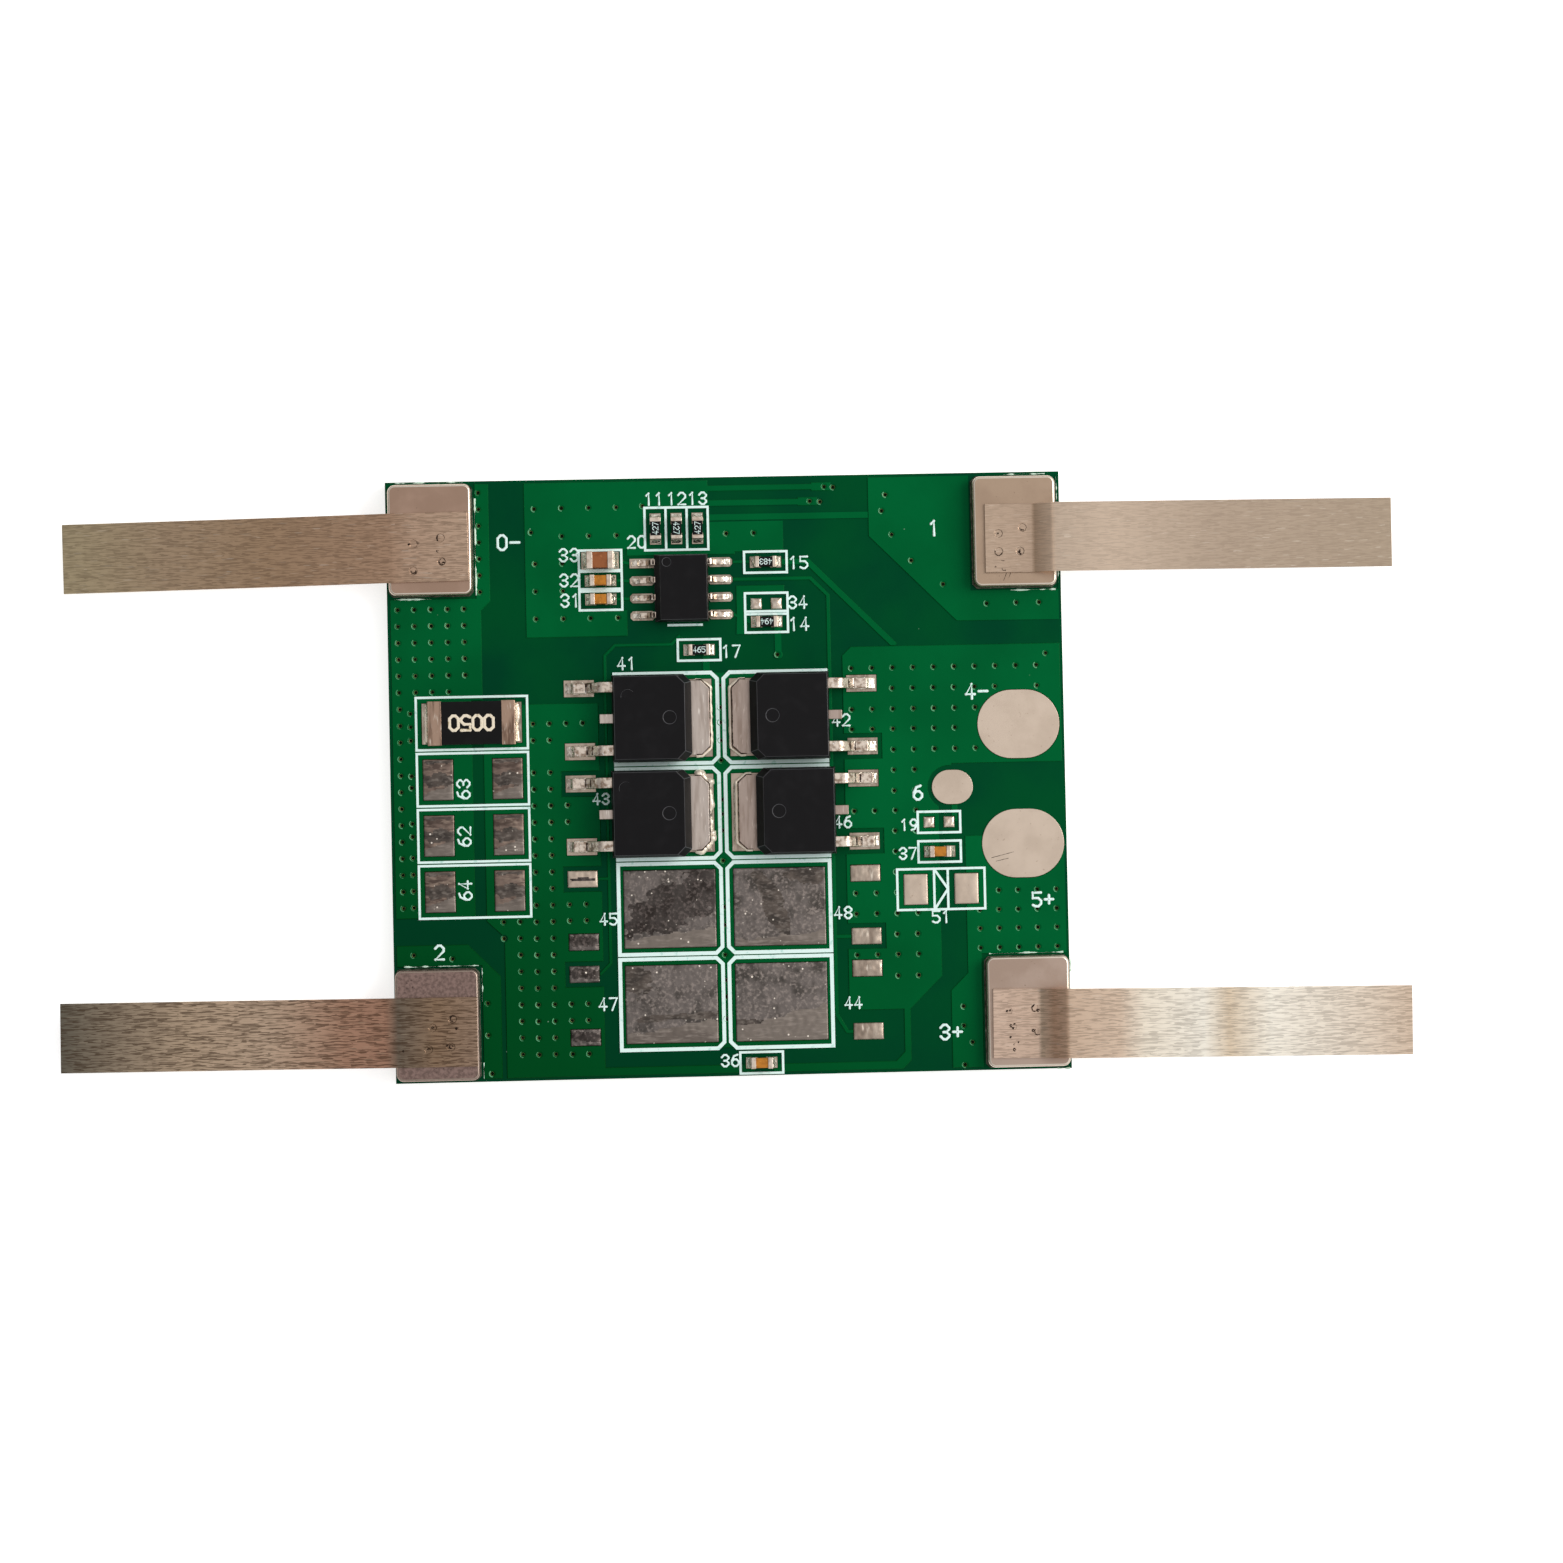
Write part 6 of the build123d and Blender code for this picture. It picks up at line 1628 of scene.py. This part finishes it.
@dataclass
class Studio:
    """Pale floor, soft light from the right and the camera of the photograph."""

    floor_size: float = 4000.0
    floor_glow: float = 0.65
    focal: float = 78.84
    sensor: float = 36.0
    clip: tuple[float, float] = (0.01, 20.0)
    camera_place: Triple = (-5.676, -5.321, 250.0)
    camera_turns: Triple = (1.116, -2.185, -1.174)
    key_place: Triple = (240.0, 75.0, 210.0)
    key_size: float = 180.0
    key_power: float = 0.57
    key_tint: Triple = (1.0, 0.97, 0.93)
    zenith: float = 0.72
    horizon: float = 0.5
    left_share: float = 0.5
    right_share: float = 1.45
    sky_rise: tuple[float, float] = (0.2, 0.95)
    sky_side: tuple[float, float] = (-0.7, 0.7)

    def build(self) -> None:
        """Sets up camera, floor, light and world."""
        self.build_camera()
        self.build_floor()
        self.build_light()
        self.build_world()
        bpy.context.scene.view_settings.view_transform = "Standard"

    def build_camera(self) -> None:
        """Puts the camera above the board, as in the photograph."""
        data = bpy.data.cameras.new("camera")
        data.lens, data.sensor_width = self.focal, self.sensor
        data.clip_start, data.clip_end = self.clip
        camera = set_out("camera", data)
        turn = Matrix.Identity(3)
        for angle, axis in zip(self.camera_turns, "XYZ"):
            turn = turn @ Matrix.Rotation(math.radians(angle), 3, axis)
        camera.matrix_world = Matrix.Translation(Vector(self.camera_place) * MM) @ turn.to_4x4()
        bpy.context.scene.camera = camera

    def build_floor(self) -> None:
        """Lays a white floor that shows as white, and still takes the board's shadow."""
        half = self.floor_size / 2
        low = CAD_BOUNDS[0][2] / MM
        mesh = bpy.data.meshes.new("floor")
        corners = [(-half, -half, low), (half, -half, low), (half, half, low), (-half, half, low)]
        mesh.from_pydata(corners, [], [(0, 1, 2, 3)])
        floor = shown("floor", mesh)
        made = bpy.data.materials.new("white_paper_floor")
        tree = fresh_nodes(made)
        rays = add_node(tree, "ShaderNodeLightPath").outputs
        seen = add_node(tree, "ShaderNodeMath", {0: rays["Is Camera Ray"], 1: rays["Is Glossy Ray"]},
                        {"operation": "MAXIMUM"}).outputs[0]
        seen = add_node(tree, "ShaderNodeMath", {0: seen, 1: rays["Is Transmission Ray"]},
                        {"operation": "MAXIMUM"}).outputs[0]
        paper = add_node(tree, "ShaderNodeBsdfDiffuse", {"Color": linear("#e8e8e8")})
        glow = add_node(tree, "ShaderNodeEmission", {"Color": linear("#ffffff"), "Strength": self.floor_glow})
        lit = add_node(tree, "ShaderNodeAddShader", {0: paper.outputs[0], 1: glow.outputs[0]})
        both = add_node(tree, "ShaderNodeMixShader", {0: seen, 1: paper.outputs[0], 2: lit.outputs[0]})
        add_node(tree, "ShaderNodeOutputMaterial", {"Surface": both.outputs[0]})
        floor.data.materials.append(made)
        floor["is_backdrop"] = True

    def build_light(self) -> None:
        """Hangs one soft lamp to the right of the board."""
        data = bpy.data.lights.new("key", "AREA")
        data.size = self.key_size * MM
        data.energy = self.key_power
        data.color = self.key_tint
        lamp = set_out("key", data)
        lamp.location = Vector(self.key_place) * MM
        lamp.rotation_euler = lamp.location.to_track_quat("Z", "Y").to_euler()

    def build_world(self) -> None:
        """Fills in with a soft sky, brighter overhead and on the right, that the camera sees as white."""
        world = bpy.data.worlds.new("soft_room")
        tree = fresh_nodes(world)
        ray = add_node(tree, "ShaderNodeTexCoord").outputs["Generated"]
        parts = add_node(tree, "ShaderNodeSeparateXYZ", {0: ray}).outputs
        span = {"Value": parts["Z"], "From Min": self.sky_rise[0], "From Max": self.sky_rise[1],
                "To Min": self.horizon, "To Max": self.zenith}
        height = add_node(tree, "ShaderNodeMapRange", span).outputs[0]
        span = {"Value": parts["X"], "From Min": self.sky_side[0], "From Max": self.sky_side[1],
                "To Min": self.left_share, "To Max": self.right_share}
        side = add_node(tree, "ShaderNodeMapRange", span).outputs[0]
        level = add_node(tree, "ShaderNodeMath", {0: height, 1: side}, {"operation": "MULTIPLY"}).outputs[0]
        camera = add_node(tree, "ShaderNodeLightPath").outputs["Is Camera Ray"]
        strength = add_node(tree, "ShaderNodeMix", {0: camera, 2: level, 3: 1.0}).outputs[0]
        sky = add_node(tree, "ShaderNodeBackground", {"Color": linear("#ffffff"), "Strength": strength})
        add_node(tree, "ShaderNodeOutputWorld", {"Surface": sky.outputs[0]})
        bpy.context.scene.world = world


def write_sizes() -> None:
    """Collects the CAD box and the visual model's box as lists of corners; nothing further is done with them.
    """
    boxes = {"cad": CAD_BOUNDS, "visual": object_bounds()}
    lists = {name: [list(corner) for corner in box] for name, box in boxes.items()}


def main() -> None:
    """Builds every sub-assembly in order."""
    logging.basicConfig(level=logging.INFO, format="%(name)s: %(message)s")
    for assembly in (Studio(), CircuitBoard(), CellTabs(), PowerTransistors(), ProtectionChip(), ChipParts(),
                     SparePlaces()):
        assembly.build()
        log.info("built %s", type(assembly).__name__)
    write_sizes()


if __name__ == "__main__":
    main()
